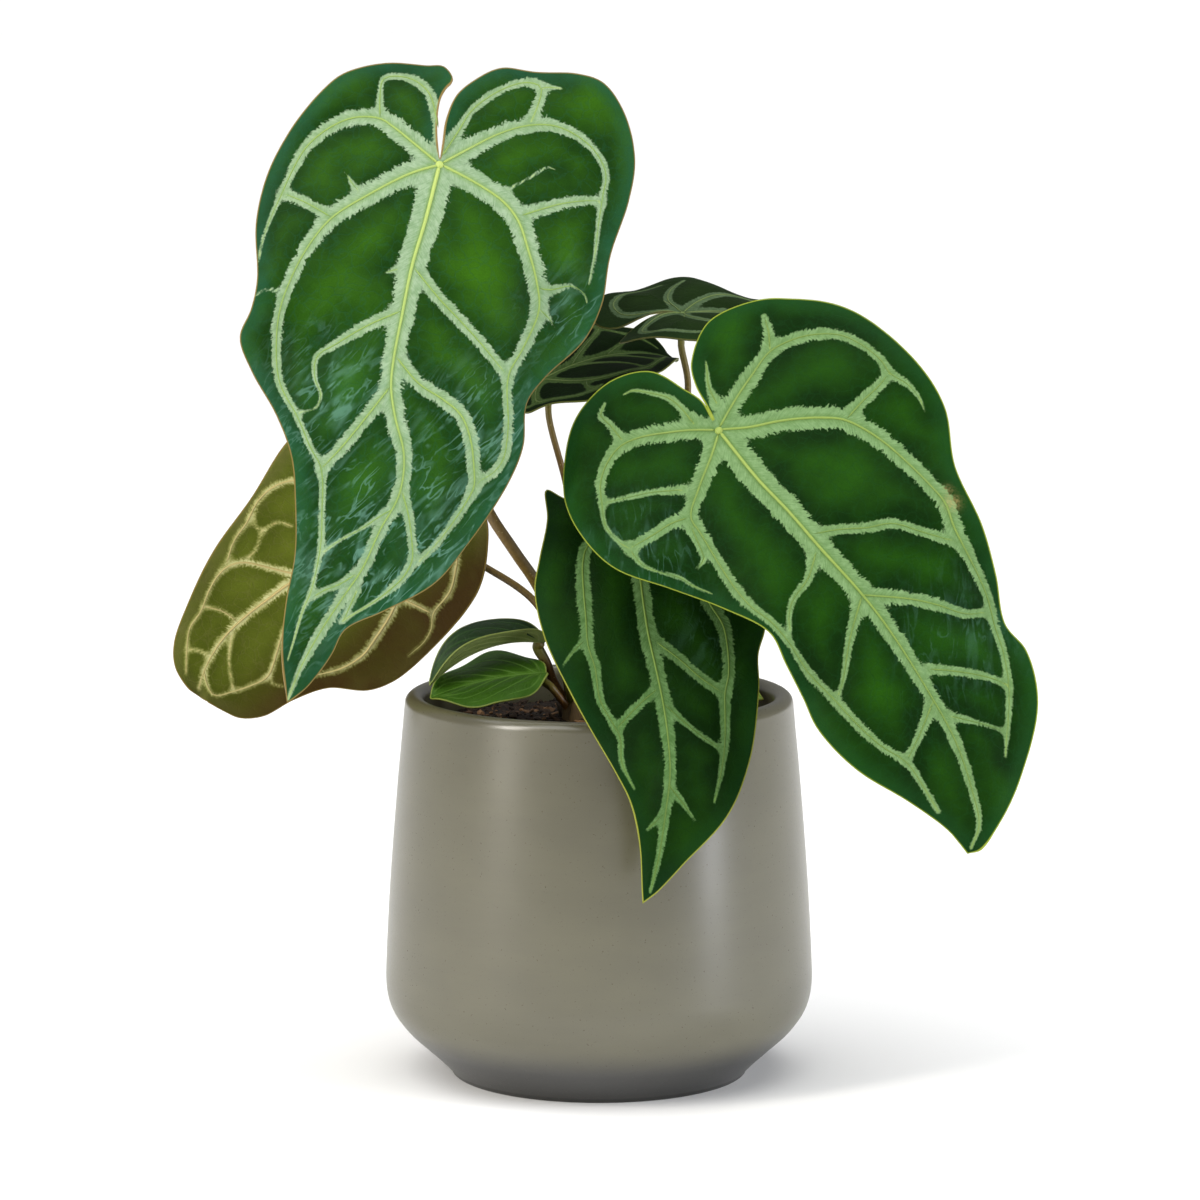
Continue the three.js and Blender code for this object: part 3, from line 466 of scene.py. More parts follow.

# Finish of each blade. cell and deep are the green between the veins, band the pale vein edging, line the
# raised vein, and groove the darker tone at its sides: painted shade of the raised vein, also the thin veins'
# own dull tone. edge is the tone of the fine vein net and of the margin, where it is partly painted sheen;
# the bluish streak tone is a painted sheen highlight. puff is how far the cells stand up between the veins,
# in millimetres, and feather how torn the bands' edges are. The lower sides follow.
leafLooks = {
    "leaf_a": {"cell": "#2f5a0b", "deep": "#14330a", "edge": "#1d4a32", "band": "#8fa586",
               "bandLow": "#728e68", "line": "#a9bb66", "grooveShadeAndThinVein": "#6f8f48", "margin": "#86703f",
               "silk": "#6a9886", "rough": 0.42, "gloss": 0.05, "puff": 1.0, "feather": 1.0},
    "leaf_b": {"cell": "#1f480a", "deep": "#0c2507", "edge": "#163c1a", "band": "#739162",
               "bandLow": "#5d7b4c", "line": "#8a9e4c", "grooveShadeAndThinVein": "#557436", "margin": "#8c9a36",
               "silk": "#557f6c", "rough": 0.45, "gloss": 0.03, "puff": 1.0, "feather": 1.0},
    # leaf_c's darker greens are partly its own and partly painted shade from leaf_b in front of it
    "leaf_c": {"cell": "#1c3f0a", "deep": "#0b2106", "edge": "#102e12", "band": "#5f7f4e",
               "bandLow": "#456536", "line": "#6a8438", "grooveShadeAndThinVein": "#3f5c26", "margin": "#94993e",
               "silk": "#557f6c", "rough": 0.45, "gloss": 0.03, "puff": 0.8, "feather": 0.9},
    "leaf_d": {"cell": "#28560e", "deep": "#143510", "edge": "#18421e", "band": "#83a272",
               "bandLow": "#688a57", "line": "#94aa44", "grooveShadeAndThinVein": "#5f7e3a", "margin": "#75632e",
               "silk": "#557f6c", "rough": 0.45, "gloss": 0.03, "puff": 0.6, "feather": 1.0},
    "leaf_e": {"cell": "#223614", "deep": "#16260d", "edge": "#1e3016", "band": "#586c4e",
               "bandLow": "#42553a", "line": "#6a7d42", "grooveShadeAndThinVein": "#465a36", "margin": "#55582e",
               "silk": "#557f6c", "rough": 0.5, "gloss": 0.03, "puff": 0.5, "feather": 0.7},
    # leaf_f's near-black greens are its dark green with painted shade added, for the shade it stands in
    # behind the leaves in front
    "leaf_f": {"cell": "#15290b", "deep": "#0a1805", "edge": "#0f1f0a", "band": "#4a5f37",
               "bandLow": "#384b27", "line": "#5f7438", "grooveShadeAndThinVein": "#3e5228", "margin": "#6a7038",
               "silk": "#557f6c", "rough": 0.48, "gloss": 0.03, "puff": 0.4, "feather": 0.6},
    "leaf_g": {"cell": "#24431a", "deep": "#182e12", "edge": "#1e3a1a", "band": "#2c4a22",
               "bandLow": "#28441e", "line": "#385628", "grooveShadeAndThinVein": "#28441e", "margin": "#7d8a48",
               "silk": "#557f6c", "rough": 0.42, "gloss": 0.3, "puff": 0.3, "feather": 0.2},
    "leaf_h": {"cell": "#3f6615", "deep": "#2f520f", "edge": "#3f681c", "band": "#517828",
               "bandLow": "#486f20", "line": "#5f8438", "grooveShadeAndThinVein": "#46702a", "margin": "#8b9b48",
               "silk": "#557f6c", "rough": 0.42, "gloss": 0.2, "puff": 0.5, "feather": 0.15},
    "leaf_i": {"cell": "#6f8f2c", "deep": "#577a20", "edge": "#7f9f3c", "band": "#8aa64a",
               "bandLow": "#7f9c40", "line": "#98ac54", "grooveShadeAndThinVein": "#6b8a30", "margin": "#a0a84a",
               "silk": "#557f6c", "rough": 0.42, "gloss": 0.2, "puff": 0.3, "feather": 0.15},
}
# bronze is the lower side's brown across the blade; on the old leaf its dark brown also paints the shade over
# the right half, and on the others it starts beyond the blade
underLooks = {
    "plain": {"cell": "#5a6b28", "deep": "#45551c", "edge": "#626f36", "band": "#a3a872",
              "bandLow": "#7d874a", "bronzeAndShade": "#5e6a2c", "line": "#b3b27c", "grooveShadeAndThinVein": "#7d7f4a",
              "bronzeAndShadeFrom": 500, "bronzeAndShadeTo": 600},
    "old": {"cell": "#5c671d", "deep": "#434c11", "edge": "#5a5a2e", "band": "#c4c592", "bandLow": "#85884a",
            "bronzeAndShade": "#34260a", "line": "#b3a06a", "grooveShadeAndThinVein": "#a29a62",
            "bronzeAndShadeFrom": -5, "bronzeAndShadeTo": 25},
    "young": {"cell": "#8a9a5c", "deep": "#7c8c50", "edge": "#94a265", "band": "#9aa86c",
              "bandLow": "#909f62", "bronzeAndShade": "#6a7838", "line": "#a3ae74", "grooveShadeAndThinVein": "#84924f",
              "bronzeAndShadeFrom": 500, "bronzeAndShadeTo": 600},
}


# Placing functions: from a flat point, its share from midrib to margin and its run along the margin to space

def wave(leaf, share, run):
    height, length, phase = leaf["wave"]
    return height * mm * share ** 2 * np.sin(2 * np.pi * run / (length * mm) + phase)


def readPlacing(leaf):
    joint = pointAtDepth(leaf["joint"], leaf["depth"])
    normal = np.array([-leaf["lean"][0], 1, -leaf["lean"][1]])
    normal /= np.linalg.norm(normal)

    def onPlane(marks):
        lines = sightLines(marks)
        return eye["place"] + lines * ((joint - eye["place"]) @ normal / (lines @ normal))[:, None]

    tip = onPlane(leaf["left"][-1])[0]
    length = np.linalg.norm(tip - joint)
    along = (tip - joint) / length
    across = np.cross(along, normal)
    halfWidth = np.abs((onPlane(leaf["left"] + leaf["right"]) - joint) @ across).max()

    def plan(marks):
        offset = onPlane(marks) - joint
        return np.stack([offset @ across, offset @ along], -1)

    def place(marks, share, run):
        flat = plan(marks)
        v = flat[:, 1] / length
        u = flat[:, 0] / halfWidth
        lift = 4 * leaf["arch"] * mm * v * (1 - v) - leaf["camber"] * mm * u * u
        spots = onPlane(marks)
        for right, down, radius, height in leaf["bumps"]:
            centre = onPlane([right, down])[0]
            gap = np.linalg.norm(spots - centre, axis=1) / (radius * mm)
            lift += height * mm * np.exp(-gap * gap)
        lift += wave(leaf, share, run)
        return spots - sightLines(marks) * lift[:, None]

    return place, plan


def sizedPlacing(leaf):
    joint = np.array(leaf["joint"]) * mm
    chord = np.array(leaf["tip"]) * mm - joint
    reach = np.linalg.norm(chord)
    arch, folds = math.radians(leaf["arch"]), np.radians(leaf["fold"])
    across = np.cross(chord, leaf["face"])
    across /= np.linalg.norm(across)
    radius = reach / (2 * math.sin(arch / 2))
    start = np.array(Matrix.Rotation(arch / 2, 3, Vector(across)) @ Vector(chord / reach))
    up = np.cross(across, start)
    up /= np.linalg.norm(up)
    halfWidth = leaf["halfWidth"] * mm

    def place(flat, share, run):
        u, v = flat[:, 0], flat[:, 1]
        turn = v / radius
        ahead = np.outer(np.cos(turn), start) - np.outer(np.sin(turn), up)
        normal = np.cross(across, ahead)
        fold = np.where(u < 0, *folds)
        lift = np.abs(u) * np.sin(fold) - leaf["camber"] * mm * (u / halfWidth) ** 2 + wave(leaf, share, run)
        return (joint + np.outer(radius * np.sin(turn), start) - np.outer(radius * (1 - np.cos(turn)), up)
                + np.outer(u * np.cos(fold), across) + normal * lift[:, None])

    return place, lambda flat: np.atleast_2d(flat), reach * arch / (2 * math.sin(arch / 2))


# Blade meshes. The columns of a half go from the joint out to the lobe's middle and back, then down the
# midrib, and each runs out to the margin.

def halfColumns(half, counts, shares):
    margin, midrib = smoothLine(half["margin"]), smoothLine(half["midrib"])
    joint, lobe = np.array(half["midrib"][0], float), np.array(half["lobe"], float)
    stretches = [
        (counts[0], 0, shares[0], lambda k: joint + np.outer(k, lobe - joint)),
        (counts[1], shares[0], shares[1], lambda k: np.outer(k * 0 + 1, lobe)),
        (counts[0], shares[1], shares[2], lambda k: lobe + np.outer(k, joint - lobe)),
        (counts[2], shares[2], 1, lambda k: alongLine(midrib, k)),
    ]
    inner, share = [], []
    for order, (steps, low, high, innerAt) in enumerate(stretches):
        k = np.linspace(0, 1, steps + 1)[0 if order == 0 else 1:]
        inner.append(innerAt(k))
        share.append(low + (high - low) * k)
    inner, share = np.vstack(inner), np.concatenate(share)
    return inner, alongLine(margin, share), share, runOf(margin)[-1]


def flatBlade(halves, counts, shares, marginScale, fade):
    # both halves in the flat, with share and run on each point
    bm = bmesh.new()
    shareLayer = bm.verts.layers.float.new("share")
    runLayer = bm.verts.layers.float.new("run")
    for half in halves:
        inner, outer, share, length = halfColumns(half, counts, shares)
        verts, column, row = gridOf(bm, len(inner) - 1, counts[3])
        t = row / counts[3]
        flat = inner[column] + (outer - inner)[column] * t[:, None]
        width = np.linalg.norm(outer - inner, axis=1)[column]
        waving = t * np.clip(width / fade, 0, 1)
        for vert, spot, s, r in zip(verts, flat, waving, share[column] * length * marginScale):
            vert.co = (spot[0], spot[1], 0)
            vert[shareLayer] = s
            vert[runLayer] = r
    bmesh.ops.remove_doubles(bm, verts=bm.verts, dist=fade * 1e-4)
    bmesh.ops.dissolve_degenerate(bm, edges=bm.edges, dist=fade * 1e-4)
    bmesh.ops.recalc_face_normals(bm, faces=bm.faces)
    return bm


veinReach = {"beyond": 12, "offset": 37, "most": 40}  # mm: searched around a vein, between runs, and the cap


def strokeFields(points, strokes, softness):
    # for each point: signed distance to the nearest band's edge, run along that vein, distance to its middle
    total = np.zeros(len(points))
    best = np.full(len(points), 1e9)
    run, middle = np.zeros(len(points)), np.zeros(len(points))
    for order, (widths, line) in enumerate(strokes):
        at = runOf(line)
        step = np.diff(line, axis=0)
        reach = (step ** 2).sum(1)
        around = np.ptp(line, axis=0).max() + veinReach["beyond"]
        keep = np.linalg.norm(points - (line.min(0) + line.max(0)) / 2, axis=1) < around
        away = points[keep][:, None] - line[None, :-1]
        t = np.clip((away * step).sum(2) / reach, 0, 1)
        gap = np.linalg.norm(away - t[..., None] * step, axis=2)
        here = at[:-1] + t * np.sqrt(reach)
        width = np.interp(here / at[-1], np.linspace(0, 1, len(widths)), widths) / 2
        pick = np.arange(len(away)), (gap - width).argmin(1)
        signed = np.full(len(points), 1e3)
        signed[keep] = (gap - width)[pick]
        total += np.exp(-np.clip(signed, -30, 60) / softness)
        closer = signed < best
        best = np.where(closer, signed, best)
        ours = closer[keep]
        run[closer & keep] = here[pick][ours] + veinReach["offset"] * order
        middle[closer & keep] = gap[pick][ours]
    edge = np.minimum(-softness * np.log(np.maximum(total, 1e-20)), veinReach["most"])
    return edge, run, middle


def distanceTo(points, line):
    step = np.diff(line, axis=0)
    best = np.full(len(points), 1e9)
    for start, move in zip(line[:-1], step):
        away = points - start
        t = np.clip(away @ move / max(move @ move, 1e-12), 0, 1)
        best = np.minimum(best, np.linalg.norm(away - np.outer(t, move), axis=1))
    return best


def coordsOf(mesh, what="vertices", field="co"):
    data = np.empty(len(getattr(mesh, what)) * 3, np.float32)
    getattr(mesh, what).foreach_get(field, data)
    return data.reshape(-1, 3).astype(float)


def smoothNoise(points, size, seed):
    # value noise between -1 and 1 with features of about size
    offset = Vector((seed * 7.3, seed * 3.1, seed * 5.7))
    return np.array([noise.noise(Vector(p) / size + offset) for p in points])


# Steps of a half blade: to its lobe, round the lobe, down the midrib and out to the margin. Relief is in
# millimetres: the cells' rise is settled within cushion of a band and within settle of the margin, and swells
# are [size, height] of soft unevenness.
bladeThickness = 0.55
leafCounts = {"large": [34, 40, 130, 52], "middle": [26, 30, 96, 40], "young": [14, 16, 56, 20]}
bladeRelief = {"softness": 0.9, "cushion": 3.5, "settle": 5, "swells": [[16, 0.35], [6, 0.12]]}


def buildBlade(name, halves, strokes, counts, shares, marginScale, fade, place, plan, patches, faceEye):
    looks = leafLooks[name]
    bm = flatBlade(halves, counts, shares, marginScale, fade)
    mesh = bpy.data.meshes.new(name + "_blade")
    bm.to_mesh(mesh)
    bm.free()
    flat = coordsOf(mesh)[:, :2]
    share, run = [np.array([d.value for d in mesh.attributes[key].data]) for key in ("share", "run")]
    spots = place(flat, share, run)
    planMm = plan(flat) * perMetre
    lines = [(widths, plan(smoothLine(marks, 6)) * perMetre) for widths, marks in strokes]
    edge, veinRun, middle = strokeFields(planMm, lines, bladeRelief["softness"])
    outline = np.vstack([plan(smoothLine(half["margin"], 6))[::1 if k == 0 else -1] * perMetre
                         for k, half in enumerate(halves)])
    rim = distanceTo(planMm, outline)
    mesh.vertices.foreach_set("co", spots.astype(np.float32).ravel())
    mesh.update()
    normals = coordsOf(mesh, "vertices", "normal")

    # cells stand up between the veins, with soft uneven swells, and settle at the margin
    cushion = 1 - np.exp(-np.clip(edge, 0, None) / bladeRelief["cushion"])
    settle = np.clip(rim / bladeRelief["settle"], 0, 1)
    swell = sum(smoothNoise(spots, size * mm, seed) * high
                for (size, high), seed in zip(bladeRelief["swells"], (len(name), 3)))
    relief = (looks["puff"] * cushion * settle + swell * cushion) * mm
    towards = ((eye["place"] - spots) * normals).sum(1) if faceEye else normals[:, 2]
    side = np.sign(towards.mean())
    spots = spots + normals * (relief * side * (-1 if name == "leaf_d" else 1))[:, None]
    mesh.vertices.foreach_set("co", spots.astype(np.float32).ravel())
    if side < 0:
        mesh.flip_normals()
    mesh.update()
    fields = {"bandEdge": edge, "veinRun": veinRun, "veinMiddle": middle, "rimGap": rim,
              "planAcross": planMm[:, 0], "planAlong": planMm[:, 1]}
    for key, marks in patches.items():
        fields[key] = np.zeros(len(flat))
        for right, down, radius, weight in marks:
            glow = weight * np.exp(-(((flat - [right, down]) / radius) ** 2).sum(1))
            fields[key] = np.maximum(fields[key], glow)
    for key, values in fields.items():
        layer = mesh.attributes.new(key, "FLOAT", "POINT")
        layer.data.foreach_set("value", np.asarray(values, np.float32))
    blade = bpy.data.objects.new(name + "_blade", mesh)
    bpy.context.scene.collection.objects.link(blade)
    mesh.shade_smooth()
    return blade, planMm, lines


def flatTree(mesh, planMm):
    mesh.calc_loop_triangles()
    corners = np.array([t.vertices for t in mesh.loop_triangles])
    tree = BVHTree.FromPolygons([(x, y, 0) for x, y in planMm], corners.tolist())
    return tree, corners, planMm, coordsOf(mesh), coordsOf(mesh, "vertices", "normal")


def onBlade(surface, marks):
    # carries flat points onto the blade: places and normals, and which of them lie on it
    tree, corners, planMm, spots, normals = surface
    places, faces, found = [], [], []
    for x, y in marks:
        hit = tree.ray_cast(Vector((x, y, 1)), Vector((0, 0, -1)))
        if hit[2] is None:
            hit = tree.find_nearest(Vector((x, y, 0)), 0.4)
        if hit[2] is None:
            found.append(False)
            continue
        tri = corners[hit[2]]
        a, b, c = planMm[tri]
        area = (b[0] - a[0]) * (c[1] - a[1]) - (c[0] - a[0]) * (b[1] - a[1])
        if abs(area) < 1e-9:
            weights = np.array([1, 0, 0.0])
        else:
            wb = ((x - a[0]) * (c[1] - a[1]) - (c[0] - a[0]) * (y - a[1])) / area
            wc = ((b[0] - a[0]) * (y - a[1]) - (x - a[0]) * (b[1] - a[1])) / area
            weights = np.array([1 - wb - wc, wb, wc])
        normal = weights @ normals[tri]
        places.append(weights @ spots[tri])
        faces.append(normal / np.linalg.norm(normal))
        found.append(True)
    return np.array(places), np.array(faces), np.array(found)


ribSizes = {"perWidth": 0.05, "least": 0.07, "underTimes": 1.7, "rise": 0.15, "spacing": 2.0, "thinnest": 2.2,
            "knob": [1.5, 0.8]}


def buildRibs(name, blade, planMm, lines, flipped, topMaterial, underMaterial):
    # raised veins: thin half-sunk ridges on the upper side and stronger ones below
    surface = flatTree(blade.data, planMm)
    sides = ("top", 1, 1.0, topMaterial), ("under", -1, ribSizes["underTimes"], underMaterial)
    for label, sign, thicker, material in sides:
        bm = bmesh.new()
        vigour = bm.verts.layers.float.new("vigour")
        way = sign * (-1 if flipped else 1)
        broadest = max(max(widths) for widths, line in lines)
        for widths, line in lines:
            if max(widths) < ribSizes["thinnest"] and name in readLeaves:
                continue
            length = runOf(line)[-1]
            count = max(4, int(length / ribSizes["spacing"]))
            shares = np.linspace(0, 1, count)
            places, faces, found = onBlade(surface, alongLine(line, shares))
            if found.sum() < 4:
                continue
            shares = shares[found]
            width = np.interp(shares, np.linspace(0, 1, len(widths)), widths)
            radii = (ribSizes["perWidth"] * width + ribSizes["least"]) * thicker * mm
            radii *= np.clip((1 - shares) * 4, 0, 1) ** 0.5
            radii[0] = radii[-1] = 0
            lift = bladeThickness / 2 * mm + radii * ribSizes["rise"]
            sweepTube(bm, places + faces * (way * lift)[:, None], radii, 8, faces * way, 0.8,
                      {vigour: (width / broadest) ** 1.5})
        if sign > 0:
            place, face, found = onBlade(surface, lines[0][1][:1])
            wide, high = [s * min(1, max(lines[0][0]) / 8) * mm for s in ribSizes["knob"]]
            turn = Vector(face[0] * way).to_track_quat("Z", "Y").to_matrix().to_4x4()
            spot = Matrix.Translation(place[0] + face[0] * way * bladeThickness / 2 * mm)
            knob = bmesh.ops.create_uvsphere(bm, u_segments=16, v_segments=8, radius=1,
                                             matrix=spot @ turn @ Matrix.Diagonal((wide, wide, high, 1)))
            for vert in knob["verts"]:
                vert[vigour] = 1.0
        bmesh.ops.recalc_face_normals(bm, faces=bm.faces)
        ribs = meshPiece(f"{name}_veins_{label}", bm, [material])
        finishPiece(ribs)


# Leaf finishes: sizes of the patterns in millimetres
leafPattern = {
    "patch": 8, "island": 0.8, "swing": 4, "cloud": 20, "warp": 6, "net": 5, "grain": 0.6, "mottle": 2.2,
    "side": 0.6, "toothAlong": 0.85, "toothAcross": 2.6, "thread": [6, 19], "wisp": [5, 15], "bump": 0.18,
}


def leafSide(name, looks, feather, rough, gloss, under):
    # Living velvet leaf: cells of about 0.05 mm give a low satin shine, the pale bands along the veins end in
    # torn feathered edges, and the finest veins show as a faint net.
    material, add = newMaterial(name)
    size = leafPattern
    place = add("TexCoord", out="Object")
    edge, run, middle, rim, silk, scar, across, along = [
        add("Attribute", {"attribute_name": key}, out="Fac")
        for key in ("bandEdge", "veinRun", "veinMiddle", "rimGap", "silk", "scar", "planAcross", "planAlong")]

    # torn edge of the bands: teeth that lean towards the vein's end, loose islands, and slower swings in
    # width; narrow veins are torn less
    patch = add("TexNoise", None, [place, 1 / (size["patch"] * mm), 3, 0.6])
    width = add("Math", minus, [middle, edge])
    narrow = add("Math", timesPlusHeld, [width, 0.27, 0.12])
    wild = add("Math", times, [narrow, add("Math", timesPlus, [patch, 2.6, -0.4])])
    teethPlace = add("CombineXYZ", None, [
        add("Math", timesPlus, [edge, -0.55, add("Math", times, [run, 1 / size["toothAlong"]])]),
        add("Math", times, [edge, 1 / size["toothAcross"]]), add("Math", times, [middle, 0.1])])
    teeth = add("TexNoise", None, [teethPlace, 1, 4, 0.7])
    island = add("TexNoise", None, [place, 1 / (size["island"] * mm), 2, 0.5])
    swing = add("TexNoise", None, [place, 1 / (size["swing"] * mm), 3, 0.6])
    torn = edge
    for pattern, strength, amount in ((teeth, wild, 5.0), (island, wild, 1.8), (swing, narrow, 2.4)):
        torn = add("Math", timesPlus, [
            add("Math", minus, [pattern, 0.5]), add("Math", times, [strength, amount * feather]), torn])
    softness = 0.7 if under else 0.3
    band = add("MapRange", smoothStep, [torn, softness, -softness])

    # green between the veins: deep beside the bands and livelier in the middle of each cell
    cloud = add("TexNoise", None, [place, 1 / (size["cloud"] * mm), 3, 0.55])
    lively = add("Math", timesPlus, [cloud, 1.3, -0.55])
    lively = add("Math", timesPlusHeld, [add("MapRange", smoothStep, [edge, 0, 13]), 0.6, lively])
    cell = add("Mix", mixed, [lively, linear(looks["deep"]), linear(looks["cell"])])

    # net of the finest veins and the grain of the leaf's tissue
    warp = add("TexNoise", None, [place, 1 / (size["warp"] * mm), 3], "Color")
    bent = add("VectorMath", timesPlus, [warp, [size["warp"] * mm] * 3, place])
    net = add("TexVoronoi", {"feature": "DISTANCE_TO_EDGE"}, [bent, 1 / (size["net"] * mm)])
    netLine = add("MapRange", smoothStep, [net, 0.08, 0])
    grain = add("TexNoise", None, [place, 1 / (size["grain"] * mm), 4, 0.7])
    netShare = add("Math", times, [netLine, 0.26 if under else 0.22])
    cell = add("Mix", mixed, [netShare, cell, linear(looks["edge"])])
    cell = add("Mix", overlaid, [0.3, cell, grain])
    # toward the margin the green turns to the teal edge tone: partly the margin's own colour, partly painted
    # sheen of velvet lit at a grazing angle
    margin = add("Math", times, [
        add("MapRange", smoothStep, [rim, 8, 0.5]), add("Math", timesPlusHeld, [patch, 1.2, 0])])
    cell = add("Mix", mixed, [margin, cell, linear(looks["edge"])])
    if under:
        # bronze and painted shade: across the blade the lower side turns brown, on the old leaf also standing
        # for the shade over its right half
        bronzeAndShade = add("Math", times, [
            add("MapRange", smoothStep, [across, looks["bronzeAndShadeFrom"], looks["bronzeAndShadeTo"]]),
            add("Math", timesPlusHeld, [cloud, 0.9, 0.5])])
        cell = add("Mix", mixed, [bronzeAndShade, cell, linear(looks["bronzeAndShade"])])

    # the band: paler in patches, with fine side veins running out from the middle
    sidePlace = add("CombineXYZ", None, [
        add("Math", timesPlus, [middle, -0.9, run]), add("Math", times, [middle, 0.18])])
    side = add("TexNoise", None, [sidePlace, 1 / size["side"], 2, 0.5])
    mottle = add("TexNoise", None, [place, 1 / (size["mottle"] * mm), 4, 0.65])
    pale = add("Math", timesPlus, [mottle, 0.8, add("Math", times, [patch, 0.5])])
    pale = add("Math", None, [add("Math", times, [side, 0.9]), pale])
    pale = add("Math", timesPlusHeld, [pale, 2.6, -2.35])
    if under:
        pale = add("Math", times, [
            add("MapRange", smoothStep, [torn, 0, -1.7]), add("Math", timesPlusHeld, [pale, 0.5, 0.6])])
    bandColour = add("Mix", mixed, [pale, linear(looks["bandLow"]), linear(looks["band"])])
    # painted shade: the band darkens beside the raised vein, where the vein's relief would shade it
    veinSideShade = add("Math", times, [
        add("MapRange", smoothStep, [middle, 2.2, 0.5]), add("Math", timesPlusHeld, [width, 0.2, -0.05])])
    veinSideShade = add("Math", times, [veinSideShade, 0.6])
    bandColour = add("Mix", mixed, [veinSideShade, bandColour, linear(looks["grooveShadeAndThinVein"])])
    core = add("Math", times, [add("MapRange", smoothStep, [middle, 0.45, 0.1]), 0.6 if under else 0.5])
    bandColour = add("Mix", mixed, [core, bandColour, linear(looks["line"])])
    if under:
        # the bands take half of the same brown and painted shade
        bronzeAndShade = add("Math", times, [bronzeAndShade, 0.5])
        bandColour = add("Mix", mixed, [bronzeAndShade, bandColour, linear(looks["bronzeAndShade"])])
    colour = add("Mix", mixed, [band, cell, bandColour])
    healed = add("Math", times, [scar, add("Math", timesPlusHeld, [island, 2.4, -0.7])])
    colour = add("Mix", mixed, [healed, colour, linear("#a18d5c")])

    # painted sheen: pale highlight threads and wisps, with a teal tint around them, painted where the blade's
    # sheen patches lie in place of the satin ripples' reflections; finer across than along the blade
    threadAt, wispAt = [
        add("CombineXYZ", None, [
            add("Math", timesPlus, [along, lean, add("Math", times, [across, 1 / wide])]),
            add("Math", times, [along, 1 / long])])
        for (wide, long), lean in ((size["thread"], 0.07), (size["wisp"], 0.09))]
    thread = add("TexNoise", None, {"Vector": threadAt, "Scale": 1, "Roughness": 0.5, "Distortion": 1.2})
    thread = add("Math", {"operation": "ABSOLUTE"}, [add("Math", minus, [thread, 0.5])])
    thread = add("Math", times, [
        add("MapRange", smoothStep, [thread, 0.045, 0]), add("MapRange", smoothStep, [patch, 0.38, 0.6])])
    wisp = add("TexNoise", None, {"Vector": wispAt, "Scale": 1, "Roughness": 0.5, "Distortion": 0.8})
    wisp = add("MapRange", smoothStep, [wisp, 0.5, 0.75])
    wisps = add("Math", times, [add("Math", timesPlusHeld, [wisp, 0.7, thread]), silk])
    if not under:
        # painted sheen: the sheen patches are tinted teal as well as streaked
        sheenTint = add("Math", times, [silk, add("Math", timesPlusHeld, [cloud, 1.2, -0.15])])
        sheenTint = add("Math", times, [sheenTint, add("Math", timesPlus, [band, -0.45, 0.5])])
        colour = add("Mix", mixed, [sheenTint, colour, linear(looks["edge"])])
        sheenStreakShare = add("Math", times, [wisps, add("Math", timesPlus, [band, -0.3, 0.6])])
        colour = add("Mix", mixed, [sheenStreakShare, colour, linear(looks["silk"])])
    rimLine = add("Math", times, [add("MapRange", smoothStep, [rim, 0.55, 0.25]), 0.85])
    colour = add("Mix", mixed, [rimLine, colour, linear(looks["margin"])])

    height = add("Math", timesPlus, [netLine, -0.5, grain])
    height = add("Math", timesPlus, [side, add("Math", times, [band, 0.8]), height])
    height = add("Math", timesPlus, [wisps, 1.6, height])
    shine = add("Math", timesPlus, [band, 0.1, add("Math", timesPlus, [grain, 0.16, rough - 0.08])])
    shader = add("BsdfPrincipled", None, {
        "Base Color": colour, "Roughness": shine, "IOR": 1.42, "Specular IOR Level": gloss,
        "Normal": add("Bump", None, {"Height": height, "Distance": size["bump"] * mm, "Strength": 0.6})})
    add("OutputMaterial", None, [shader])
    return material


def ribFinish(name, bright, dull, rough):
    # a vein standing out of the blade: smooth watery tissue, livelier where the vein is thick
    material, add = newMaterial(name)
    tone = add("TexNoise", None, [add("TexCoord", out="Object"), 1 / (2.5 * mm), 3])
    share = add("Math", {"operation": "ADD", "use_clamp": True}, [
        add("Math", timesPlusHeld, [tone, 0.5, -0.25]),
        add("Attribute", {"attribute_name": "vigour"}, out="Fac")])
    shader = add("BsdfPrincipled", None, {
        "Base Color": add("Mix", mixed, [share, linear(dull), linear(bright)]),
        "Roughness": rough, "IOR": 1.42, "Specular IOR Level": 0.3})
    add("OutputMaterial", None, [shader])
    return material


# shares of the columns that end at the lobe, round it and back at the joint
sharesRead, sharesSized = [0.13, 0.3, 0.46], [0.14, 0.26, 0.42]
frameScale = -eye["place"][1] / eye["focal"]


def dressBlade(name, blade, planMm, lines, facesAway):
    # materials, thickness and raised veins; a blade that shows the viewer its lower side is marked facesAway
    looks = leafLooks[name]
    young = name in ("leaf_g", "leaf_h", "leaf_i")
    below = underLooks["old" if facesAway else "young" if young else "plain"]
    below = dict(below, margin=looks["margin"])
    top = leafSide(name + " velvet leaf, upper side", looks,
                   looks["feather"], looks["rough"], looks["gloss"], False)
    under = leafSide(name + " leaf, lower side", below, 1.5 * looks["feather"], 0.55, 0.05, True)
    margin = ribFinish(name + " leaf margin", looks["margin"], looks["margin"], 0.45)
    for material in [under, top, margin] if facesAway else [top, under, margin]:
        blade.data.materials.append(material)
    wall = blade.modifiers.new("thickness", "SOLIDIFY")
    wall.thickness = bladeThickness * mm
    wall.offset = 0
    wall.material_offset = 1
    wall.material_offset_rim = 2
    finishPiece(blade, name)
    buildRibs(name, blade, planMm, lines, facesAway,
              ribFinish(name + " vein, upper side", looks["line"], looks["grooveShadeAndThinVein"], 0.42),
              ribFinish(name + " vein, lower side", below["line"], below["grooveShadeAndThinVein"], 0.5))


jointFaces = {}


